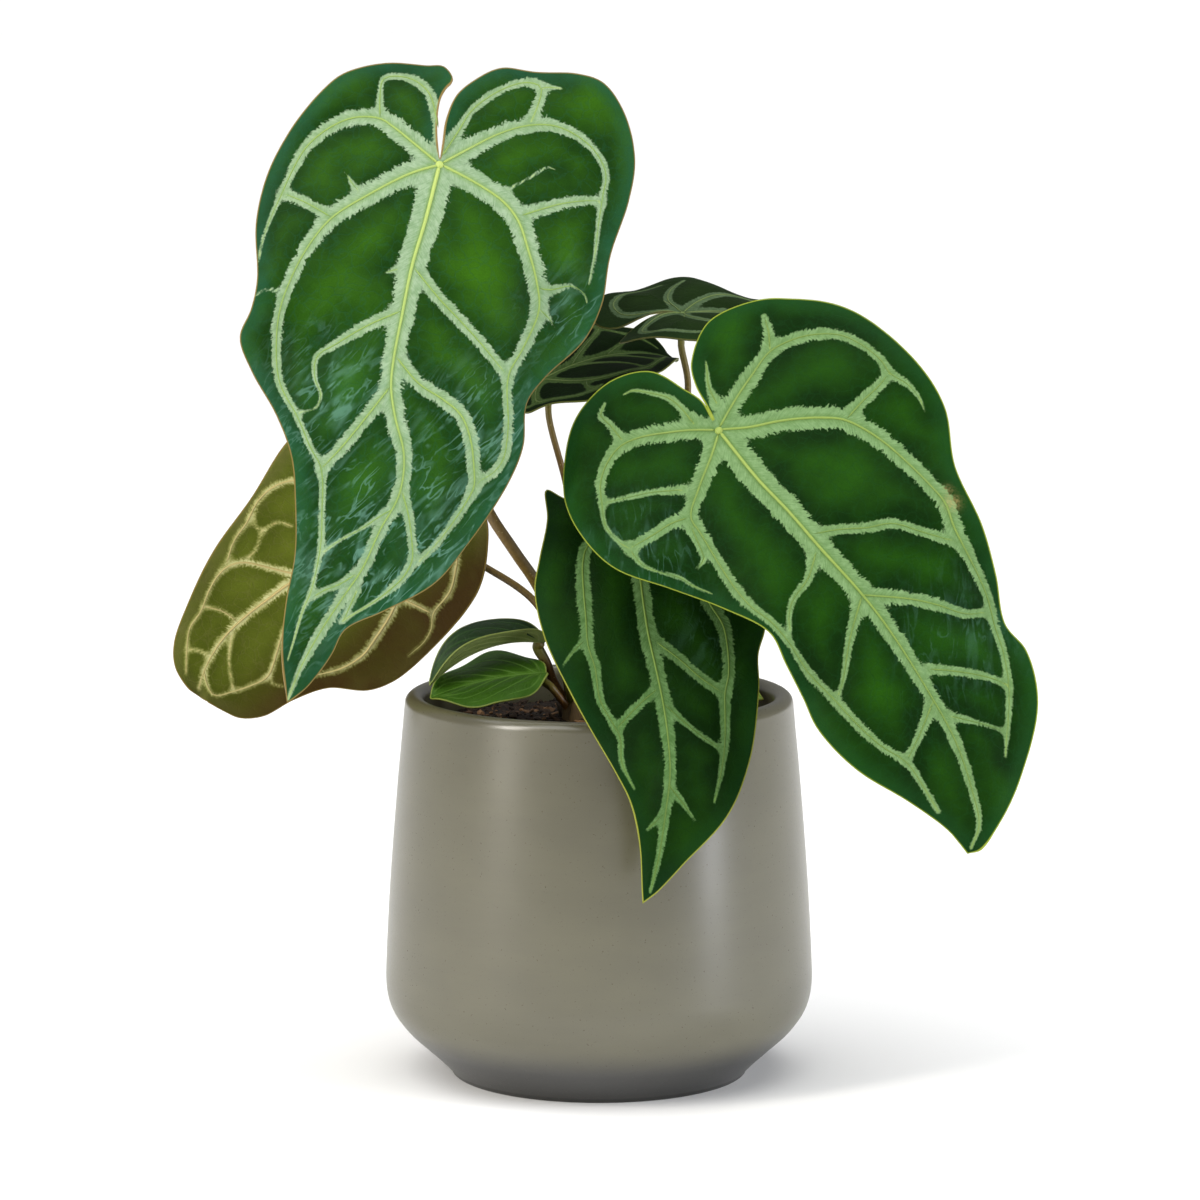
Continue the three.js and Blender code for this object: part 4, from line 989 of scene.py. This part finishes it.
def jointFace(name, place, joint, step, turned):
    # where a blade's stem ends, and the way the blade faces there
    across, along = [joint[0] + step, joint[1]], [joint[0], joint[1] + step]
    spots = place(np.array([joint, across, along], float), np.zeros(3), np.zeros(3))
    normal = np.cross(spots[1] - spots[0], spots[2] - spots[0])
    normal /= np.linalg.norm(normal)
    jointFaces[name] = (spots[0], -normal if turned else normal)


for name, leaf in readLeaves.items():
    place, plan = readPlacing(leaf)
    halves = [{"margin": leaf[side], "midrib": leaf["midrib"], "lobe": lobe}
              for side, lobe in zip(("left", "right"), leaf["lobes"])]
    counts = leafCounts["large" if name in ("leaf_a", "leaf_b") else "middle"]
    blade, planMm, lines = buildBlade(name, halves, leaf["veins"], counts, sharesRead, frameScale, 14, place,
                                      plan, {"silk": leaf["silk"], "scar": leaf["scars"]}, True)
    dressBlade(name, blade, planMm, lines, name == "leaf_d")
    jointFace(name, place, leaf["joint"], 3, True)
    print(name, "built")

for name, leaf in sizedLeaves.items():
    place, plan, length = sizedPlacing(leaf)
    outline = sizedOutlines[leaf["outline"]]
    size = np.array([leaf["halfWidth"] * mm, length])
    midrib = np.array([[0, 0], [0, 0.5], [0, 1]]) * size
    halves = [{"margin": np.array(outline["margin"]) * size * [side, 1], "midrib": midrib,
               "lobe": np.array(outline["lobe"]) * size * [side, 1]} for side in (1, -1)]
    strokes = [(outline["midrib"][0], np.array(outline["midrib"][1]) * size)]
    for widths, marks in outline["veins"]:
        strokes += [(widths, np.array(marks) * size * [side, 1]) for side in (1, -1)]
    counts = leafCounts["young" if leaf["outline"] == "egg" else "middle"]
    blade, planMm, lines = buildBlade(name, halves, strokes, counts, sharesSized, 1, 4 * mm, place,
                                      plan, {"silk": [], "scar": []}, False)
    dressBlade(name, blade, planMm, lines, False)
    jointFace(name, place, [0, 0], 1.5 * mm, False)
    print(name, "built")


# Stems: from the crown to behind each blade, as [right, down, depth] marks, with their thickness
stems = {
    "routes": {
        "leaf_a": [[576, 713, 2], [567, 665, -4], [540, 590, -18], [515, 552, -28], [489, 512, -36],
                   [468, 465, -38], [453, 390, -30], [446, 290, -18], [442, 205, -10]],
        "leaf_b": [[592, 712, 2], [602, 645, -6], [628, 585, -22], [668, 512, -42], [702, 452, -57]],
        "leaf_c": [[588, 713, 1], [599, 640, -8], [616, 588, -26], [629, 552, -41]],
        "leaf_d": [[573, 712, 6], [560, 650, 6], [535, 602, 6], [485, 567, 8], [452, 550, 10], [432, 542, 9]],
        "leaf_e": [[594, 710, 7], [618, 640, 10], [668, 500, 14], [688, 388, 14], [681, 342, 12]],
        "leaf_f": [[588, 707, 9], [583, 620, 13], [577, 540, 18], [565, 480, 21], [549, 418, 26]],
        "leaf_g": [[576, 714, 6], [563, 698, 7], [553, 680, 8], [547, 664, 8]],
        "leaf_h": [[573, 714, 1], [561, 699, -1], [551, 687, -2]],
        "leaf_i": [[598, 710, 8], [618, 699, 10], [643, 689, 13]],
    },
    # the last stretch of each stem runs straight into the blade over turn
    "thickness": {"leaf_a": 3.6, "leaf_b": 3.4, "leaf_c": 3.2, "leaf_d": 2.6, "leaf_e": 2.5, "leaf_f": 2.4,
                  "leaf_g": 3.4, "leaf_h": 2.6, "leaf_i": 2.2},
    "turn": {"leaf_a": 5, "leaf_b": 5, "leaf_c": 5, "leaf_d": 5, "leaf_e": 5, "leaf_f": 5, "leaf_g": 2.2,
             "leaf_h": 2.5, "leaf_i": 3},
    "flare": 1.5, "knee": 0.24, "kneeLength": 9, "sides": 20,
    "foot": "#4c4a1c", "middle": "#6a5426", "top": "#77743a", "kneeColour": "#8f9f45", "youngTint": "#5f3c1a",
    "fleck": "#a99a62", "steps": 70, "sunk": [0.9, 0.15],
}


def stemFinish():
    # leaf stem: round, slightly ribbed lengthwise, with fine pale flecks on a waxy brown-green skin
    material, add = newMaterial("anthurium leaf stem skin")
    place = add("TexCoord", out="Object")
    along, knee, tint = [add("Attribute", {"attribute_name": key}, out="Fac")
                         for key in ("stemShare", "stemKnee", "stemTint")]
    colour = add("ValToRGB", None, [along])
    ramp = colour.node.color_ramp
    ramp.elements[0].color = linear(stems["foot"])
    ramp.elements[0].position = 0.04
    ramp.elements[1].color = linear(stems["top"])
    for position in (0.3, 0.75):
        ramp.elements.new(position).color = linear(stems["middle"])
    colour = add("Mix", mixed, [tint, colour, linear(stems["youngTint"])])
    colour = add("Mix", mixed, [knee, colour, linear(stems["kneeColour"])])
    stretched = add("Mapping", None, {"Vector": place, "Scale": (1, 1, 0.12)})
    streak = add("TexNoise", None, [stretched, 1 / (0.7 * mm), 4, 0.6])
    colour = add("Mix", overlaid, [0.55, colour, streak])
    fleck = add("TexVoronoi", None, [place, 1 / (2.2 * mm)])
    fleck = add("MapRange", smoothStep, [fleck, 0.16, 0.08, 0, 0.5])
    colour = add("Mix", mixed, [fleck, colour, linear(stems["fleck"])])
    shader = add("BsdfPrincipled", None, {
        "Base Color": colour, "Roughness": 0.42, "IOR": 1.42,
        "Normal": add("Bump", None, {"Height": streak, "Distance": 0.12 * mm, "Strength": 0.6})})
    add("OutputMaterial", None, [shader])
    return material


def buildStems():
    bm = bmesh.new()
    layers = [bm.verts.layers.float.new(key) for key in ("stemShare", "stemKnee", "stemTint")]
    before, end = stems["sunk"]
    even = np.linspace(0, 1, stems["steps"])
    for order, (name, route) in enumerate(stems["routes"].items()):
        centre, normal = jointFaces[name]
        spots = [pointAtDepth(mark[:2], mark[2]) for mark in route]
        spots += [centre - normal * (stems["turn"][name] + before) * mm, centre - normal * before * mm]
        line = np.vstack([alongLine(smoothLine(spots), even), centre - normal * end * mm])
        share = np.append(even, 1.0)
        left = (runOf(line)[-1] - runOf(line)) / mm
        knee = np.exp(-((left - stems["kneeLength"] * 0.45) / (stems["kneeLength"] * 0.55)) ** 2)
        swell = 1 + (stems["flare"] - 1) * (1 - share) ** 3 + stems["knee"] * knee
        radii = stems["thickness"][name] / 2 * mm * swell
        radii[-1] *= 0.8
        young = name in ("leaf_g", "leaf_h", "leaf_i")
        tint = np.full(len(share), 0.8 if young else 0.15 * (order % 3))
        done = set(bm.verts)
        sweepTube(bm, line, radii, stems["sides"],
                  carried=dict(zip(layers, (share, knee * (0.4 if young else 1), tint))))
        edges = {e for v in bm.verts if v not in done for e in v.link_edges if e.is_boundary}
        bmesh.ops.holes_fill(bm, edges=list(edges), sides=40)
    bmesh.ops.recalc_face_normals(bm, faces=bm.faces)
    return finishPiece(meshPiece("leaf_stems", bm, [stemFinish()]), "stems")


# Crown: heights of the short stem's rings with their share of its radius, and dry sheaths round it
crown = {
    "axis": [-5, 4], "radius": 9.5, "heights": [92, 110, 128, 137, 140, 142, 143],
    "spread": [1, 1, 1, 1, 0.9, 0.72, 0], "steps": 40, "sides": 40, "roughFrom": 133,
    "sheaths": 9, "tall": [9, 19], "width": 7.5, "sheathFoot": 129.5, "wall": 0.35, "seed": 21,
    "dark": "#241a0c", "skin": "#6b5327",
}


def crownFinish():
    # short stem at soil level: corky brown skin with dry papery sheaths
    material, add = newMaterial("corky stem crown and dry sheaths")
    stretched = add("Mapping", None, {"Vector": add("TexCoord", out="Object"), "Scale": (1, 1, 0.25)})
    fibre = add("TexNoise", None, [stretched, 1 / (1.1 * mm), 5, 0.65])
    shader = add("BsdfPrincipled", None, {
        "Base Color": add("Mix", mixed, [fibre, linear(crown["dark"]), linear(crown["skin"])]),
        "Roughness": 0.75,
        "Normal": add("Bump", None, {"Height": fibre, "Distance": 0.4 * mm, "Strength": 0.8})})
    add("OutputMaterial", None, [shader])
    return material


def buildCrown():
    x, y = crown["axis"]
    even = np.linspace(0, len(crown["heights"]) - 1, crown["steps"])
    order = range(len(crown["heights"]))
    line = np.array([[x, y, z] for z in np.interp(even, order, crown["heights"])]) * mm
    radii = crown["radius"] * mm * np.interp(even, order, crown["spread"])
    radii[0] = 0
    radii[1] = crown["radius"] * mm
    line[1][2] = line[0][2] + 0.2 * mm
    bm = bmesh.new()
    sweepTube(bm, line, radii, crown["sides"])
    for vert in bm.verts:
        if vert.co.z > crown["roughFrom"] * mm:
            out = Vector((vert.co.x - x * mm, vert.co.y - y * mm, 0))
            vert.co += out * (0.12 * noise.noise(vert.co * 260) - 0.06)
            vert.co.z += 0.8 * mm * noise.noise(vert.co * 320)
    draw = random.Random(crown["seed"])
    for k in range(crown["sheaths"]):
        angle = 2 * math.pi * (k + draw.uniform(-0.3, 0.3)) / crown["sheaths"]
        tall = draw.uniform(*crown["tall"])
        radius = crown["radius"] * draw.uniform(0.72, 0.95)
        verts, column, row = gridOf(bm, 6, 10)
        for vert, i, j in zip(verts, column, row):
            up = j / 10
            turn = angle + (i / 6 - 0.5) * crown["width"] / radius * (1 - up ** 1.6) * 1.3
            out = radius + 0.8 + 2.4 * up ** 2 * (1 if k % 3 else -0.6)
            height = crown["sheathFoot"] + tall * up
            vert.co = Vector((x + out * math.cos(turn), y + out * math.sin(turn), height)) * mm
            vert.co += Vector((noise.noise(vert.co * 300), noise.noise(vert.co * 310), 0)) * 0.5 * mm
        faces = list({f for v in verts for f in v.link_faces})
        bmesh.ops.solidify(bm, geom=faces, thickness=crown["wall"] * mm)
    bmesh.ops.remove_doubles(bm, verts=bm.verts, dist=1e-7)
    bmesh.ops.recalc_face_normals(bm, faces=bm.faces)
    return finishPiece(meshPiece("stem_crown", bm, [crownFinish()]))


buildStems()
buildCrown()
print("stems and crown built")


# Pot: thrown stoneware. Profiles are [radius, height], and lip is its middle, its height and its bend.
pot = {
    "outside": [[55.7, 1.2], [59.4, 5], [67, 12], [71.4, 16], [74.8, 20], [77.4, 24], [79.1, 28.5],
                [80, 34.5], [79.9, 42], [78.3, 72], [75.3, 110], [73.4, 130], [72.5, 139.9]],
    "foot": 55, "lip": [68.8, 139.9, 3.7], "inside": [[72.6, 40], [71.2, 30], [67.5, 20], [62, 9.5], [58, 8]],
    "steps": 180, "glaze": "#504d3a", "light": "#56533f", "dark": "#413f2e", "footShade": "#0f0f08",
    "footShadeFrom": [25, 11], "rough": 0.3,
}


def potFinish():
    # satin stoneware glaze over thrown clay: even taupe with soft clouds, painted shade darkening it toward
    # the foot, faint throwing rings about 1.6 mm apart, a skin dimpled every 0.9 mm and fine iron specks
    material, add = newMaterial("satin glazed stoneware")
    place = add("TexCoord", out="Object")
    flattened = add("Mapping", None, {"Vector": place, "Scale": (1, 1, 2.2)})
    cloud = add("MapRange", None, [add("TexNoise", None, [flattened, 1 / (34 * mm), 4, 0.55]), 0.3, 0.7])
    colour = add("Mix", mixed, [cloud, linear(pot["glaze"]), linear(pot["light"])])
    speck = add("TexVoronoi", None, [place, 1 / (3.4 * mm)])
    speck = add("MapRange", smoothStep, [speck, 0.09, 0.03, 0, 0.5])
    colour = add("Mix", mixed, [speck, colour, linear(pot["dark"])])
    # painted shade: below the belly the colour darkens to near black, standing for the shade over the foot
    low = add("SeparateXYZ", None, [place], "Z")
    low = add("MapRange", smoothStep, [low, *[height * mm for height in pot["footShadeFrom"]], 0, 0.97])
    colour = add("Mix", mixed, [low, colour, linear(pot["footShade"])])
    turned = add("Mapping", None, {"Vector": place, "Scale": (0.04, 0.04, 1)})
    ring = add("TexNoise", None, [turned, 1 / (1.6 * mm), 3])
    dimple = add("TexNoise", None, [place, 1 / (0.9 * mm), 3, 0.6])
    colour = add("Mix", overlaid, [0.04, colour, ring])
    height = add("Math", timesPlus, [dimple, 0.6, ring])
    shader = add("BsdfPrincipled", None, {
        "Base Color": colour, "Roughness": add("Math", timesPlus, [dimple, 0.14, pot["rough"] - 0.07]),
        "Normal": add("Bump", None, {"Height": height, "Distance": 0.06 * mm, "Strength": 0.25}),
        "IOR": 1.5, "Specular IOR Level": 0.95})
    add("OutputMaterial", None, [shader])
    return material


def cavityRadius(height):
    # the inside narrows from the bulge up to the lip
    wide, low = pot["inside"][0]
    middle, top, bend = pot["lip"]
    share = min(max((height - low) / (top - low), 0), 1)
    return wide + (middle - bend - wide) * share


def spinProfile(profile, steps):
    bm = bmesh.new()
    verts = [bm.verts.new((radius * mm, 0, height * mm)) for radius, height in profile]
    edges = [bm.edges.new(pair) for pair in zip(verts, verts[1:])]
    bmesh.ops.spin(bm, geom=verts + edges, cent=(0, 0, 0), axis=(0, 0, 1), angle=2 * math.pi, steps=steps,
                   use_merge=True, use_duplicate=False)
    bmesh.ops.remove_doubles(bm, verts=bm.verts, dist=1e-6)
    bmesh.ops.recalc_face_normals(bm, faces=bm.faces)
    return bm


def buildPot():
    outside = smoothLine(pot["outside"], 5)
    x, z, r = pot["lip"]
    lip = [[x + r * math.cos(a), z + r * math.sin(a)] for a in np.linspace(0.15, math.pi, 15)]
    inner = smoothLine([[cavityRadius(130), 130], [cavityRadius(85), 85]] + pot["inside"], 5)
    profile = [[0, 0], [pot["foot"] - 8, 0], [pot["foot"], 0], [pot["foot"] + 0.45, 0.35], *outside, *lip,
               *inner, [30, 8], [0, 8]]
    piece = meshPiece("stoneware_pot", spinProfile(profile, pot["steps"]), [potFinish()])
    return finishPiece(piece, "pot")


buildPot()
print("pot built")


# Soil: peat with bark; the top is lumpy and the crumbs lie on it
soil = {"top": 130.5, "mound": 2.5, "lump": 0.7, "rough": 1.6, "rings": 56, "steps": 200, "edge": 66.2,
        "side": [[0, 8.3], [57, 8.3], [66.6, 20], [70.6, 31]], "gap": 0.3, "levels": [41, 90],
        "crumbs": 1500, "chips": 260, "clear": 10, "seed": 5,
        "dark": "#130c07", "brown": "#3a2818", "bark": "#77583a"}


def soilHeight(x, y):
    radius, angle = math.hypot(x, y), math.atan2(y, x)
    lumps = math.sin(radius * 0.35 + 3 * angle) + math.sin(radius * 0.21 - 5 * angle + 1.3)
    grain = noise.fractal(Vector((x, y, 0)) / 7, 0.9, 2.1, 5)
    settle = min(1, max(0, (soil["edge"] - radius) / 4 + 0.25))
    return (soil["top"] + soil["mound"] * math.exp(-(radius / 26) ** 2)
            + soil["lump"] * lumps * min(1, radius / 10) + soil["rough"] * 0.5 * grain * settle)


def soilFinish():
    # moist peat: near black with brown fibres, grains of 0.3 to 2 mm
    material, add = newMaterial("moist peat soil")
    coarse = add("TexNoise", None, [add("TexCoord", out="Object"), 1 / (2.2 * mm), 6, 0.75])
    spread = add("MapRange", None, [coarse, 0.42, 0.68])
    shader = add("BsdfPrincipled", None, {
        "Base Color": add("Mix", mixed, [spread, linear(soil["dark"]), linear(soil["brown"])]),
        "Roughness": 0.9,
        "Normal": add("Bump", None, {"Height": coarse, "Distance": 1.2 * mm, "Strength": 1}),
        "Specular IOR Level": 0.3})
    add("OutputMaterial", None, [shader])
    return material


def crumbFinish():
    # bark chips and peat crumbs: each has its own brown, with a fibrous face
    material, add = newMaterial("bark chips and peat crumbs")
    tone = add("ValToRGB", None, [add("Attribute", {"attribute_name": "tone"}, out="Fac")])
    ramp = tone.node.color_ramp
    ramp.elements[0].color = linear(soil["dark"])
    ramp.elements[1].color = linear(soil["bark"])
    ramp.elements.new(0.55).color = linear(soil["brown"])
    fibre = add("TexNoise", None, [add("TexCoord", out="Object"), 1 / (0.8 * mm), 4, 0.7])
    shader = add("BsdfPrincipled", None, {
        "Base Color": add("Mix", overlaid, [0.7, tone, fibre]), "Roughness": 0.82,
        "Normal": add("Bump", None, {"Height": fibre, "Distance": 0.4 * mm, "Strength": 0.8}),
        "Specular IOR Level": 0.3})
    add("OutputMaterial", None, [shader])
    return material


def buildSoil():
    edge = cavityRadius(soil["top"]) - soil["gap"]
    side = soil["side"] + [[cavityRadius(level) - soil["gap"], level] for level in soil["levels"]]
    rings = [[edge * k / soil["rings"], soil["top"]] for k in range(soil["rings"], -1, -1)]
    bm = spinProfile(side + rings, soil["steps"])
    for vert in bm.verts:
        if vert.co.z > (soil["top"] - 0.01) * mm:
            vert.co.z = soilHeight(vert.co.x / mm, vert.co.y / mm) * mm
    finishPiece(meshPiece("peat_soil", bm, [soilFinish()]), "soil")

    draw = random.Random(soil["seed"])
    bm = bmesh.new()
    tone = bm.verts.layers.float.new("tone")
    for k in range(soil["crumbs"] + soil["chips"]):
        chip = k >= soil["crumbs"]
        radius = (soil["edge"] - 2.5) * math.sqrt(draw.random())
        angle = draw.uniform(0, 2 * math.pi)
        x, y = radius * math.cos(angle), radius * math.sin(angle)
        if math.hypot(x - crown["axis"][0], y - crown["axis"][1]) < soil["clear"]:
            continue
        size = draw.uniform(1.0, 2.3) if chip else draw.uniform(0.35, 1.0)
        shape = (size * draw.uniform(1.1, 2.0), size, size * 0.45) if chip else (
            size * draw.uniform(0.8, 1.6), size, size * draw.uniform(0.6, 1.0))
        turn = Matrix.Rotation(draw.uniform(0, 6.28), 4, "Z") @ Matrix.Rotation(draw.gauss(0, 0.35), 4, "X")
        turn = turn @ Matrix.Rotation(draw.gauss(0, 0.35), 4, "Y")
        spot = Vector((x, y, soilHeight(x, y) + shape[2] * 0.35))
        matrix = Matrix.Translation(spot * mm) @ turn @ Matrix.Diagonal((*[s * mm for s in shape], 1))
        verts = bmesh.ops.create_icosphere(bm, subdivisions=1, radius=1, matrix=matrix)["verts"]
        shade = draw.random() ** (1.0 if chip else 2.0)
        for vert in verts:
            vert.co += Vector([draw.uniform(-1, 1) for axis in range(3)]) * size * 0.16 * mm
            vert[tone] = shade
    piece = meshPiece("bark_crumbs", bm, [crumbFinish()])
    piece.data.shade_flat()
    finishPiece(piece)


buildSoil()
print("soil built")


# Studio: pale floor, one big soft light each side of the camera, one above, and a bright backdrop. A light is
# its place, its width and height in metres, its power in watts and its colour.
studio = {
    "floor": "#fafaf9", "floorLight": "#fcfcfc", "floorSize": 14, "backdrop": 1.1, "low": 0.22, "sky": 0.3,
    "lights": {
        "key": [(-1.5, -1.05, 0.95), 0.38, 1.3, 27, "#fffaf2"],
        "fill": [(1.7, -0.85, 0.7), 0.34, 1.3, 25, "#f8faff"],
    },
    "aim": (0, 0, 0.2), "above": 2.55, "spread": 75, "tilt": [12, -8],
}


def placeLight(name, kind, power, turn, spot=(0, 0, 0)):
    light = bpy.data.lights.new(name, kind)
    light.energy = power
    holder = bpy.data.objects.new(name, light)
    holder.location = spot
    holder.rotation_euler = turn
    bpy.context.scene.collection.objects.link(holder)
    return light


def buildStudio():
    bm = bmesh.new()
    bmesh.ops.create_circle(bm, cap_ends=True, segments=96, radius=studio["floorSize"])
    material, add = newMaterial("pale studio floor")
    tone = add("TexNoise", None, [add("TexCoord", out="Object"), 2, 2])
    tone = add("Mix", mixed, [tone, linear(studio["floor"]), linear(studio["floorLight"])])
    shader = add("BsdfPrincipled", None, {"Base Color": tone, "Roughness": 0.9, "Specular IOR Level": 0.1})
    add("OutputMaterial", None, [shader])
    floor = meshPiece("studio_floor", bm, [material])
    for name, (spot, wide, high, power, hexColour) in studio["lights"].items():
        turn = (Vector(studio["aim"]) - Vector(spot)).to_track_quat("-Z", "Y").to_euler()
        light = placeLight(name, "AREA", power, turn, spot)
        light.shape = "RECTANGLE"
        light.size, light.size_y = wide, high
        light.color = linear(hexColour)[:3]
    turn = [math.radians(angle) for angle in (*studio["tilt"], 0)]
    above = placeLight("above", "SUN", studio["above"], turn)
    above.angle = math.radians(studio["spread"])
    world = bpy.data.worlds.new("studio")
    bpy.context.scene.world = world
    world.use_nodes = True
    world.node_tree.nodes.clear()
    add = partial(addNode, world.node_tree)
    rise = add("SeparateXYZ", None, [add("TexCoord", out="Generated")], "Z")
    glow = add("MapRange", smoothStep, [rise, 0, 0.15, studio["low"], studio["sky"]])
    seen = add("LightPath", out="Is Camera Ray")
    glow = add("Mix", {"data_type": "FLOAT"}, [seen, glow, studio["backdrop"]])
    add("OutputWorld", None, [add("Background", None, [(1, 1, 1, 1), glow])])


buildStudio()
bpy.context.scene.view_settings.view_transform = "Standard"
print("studio built")
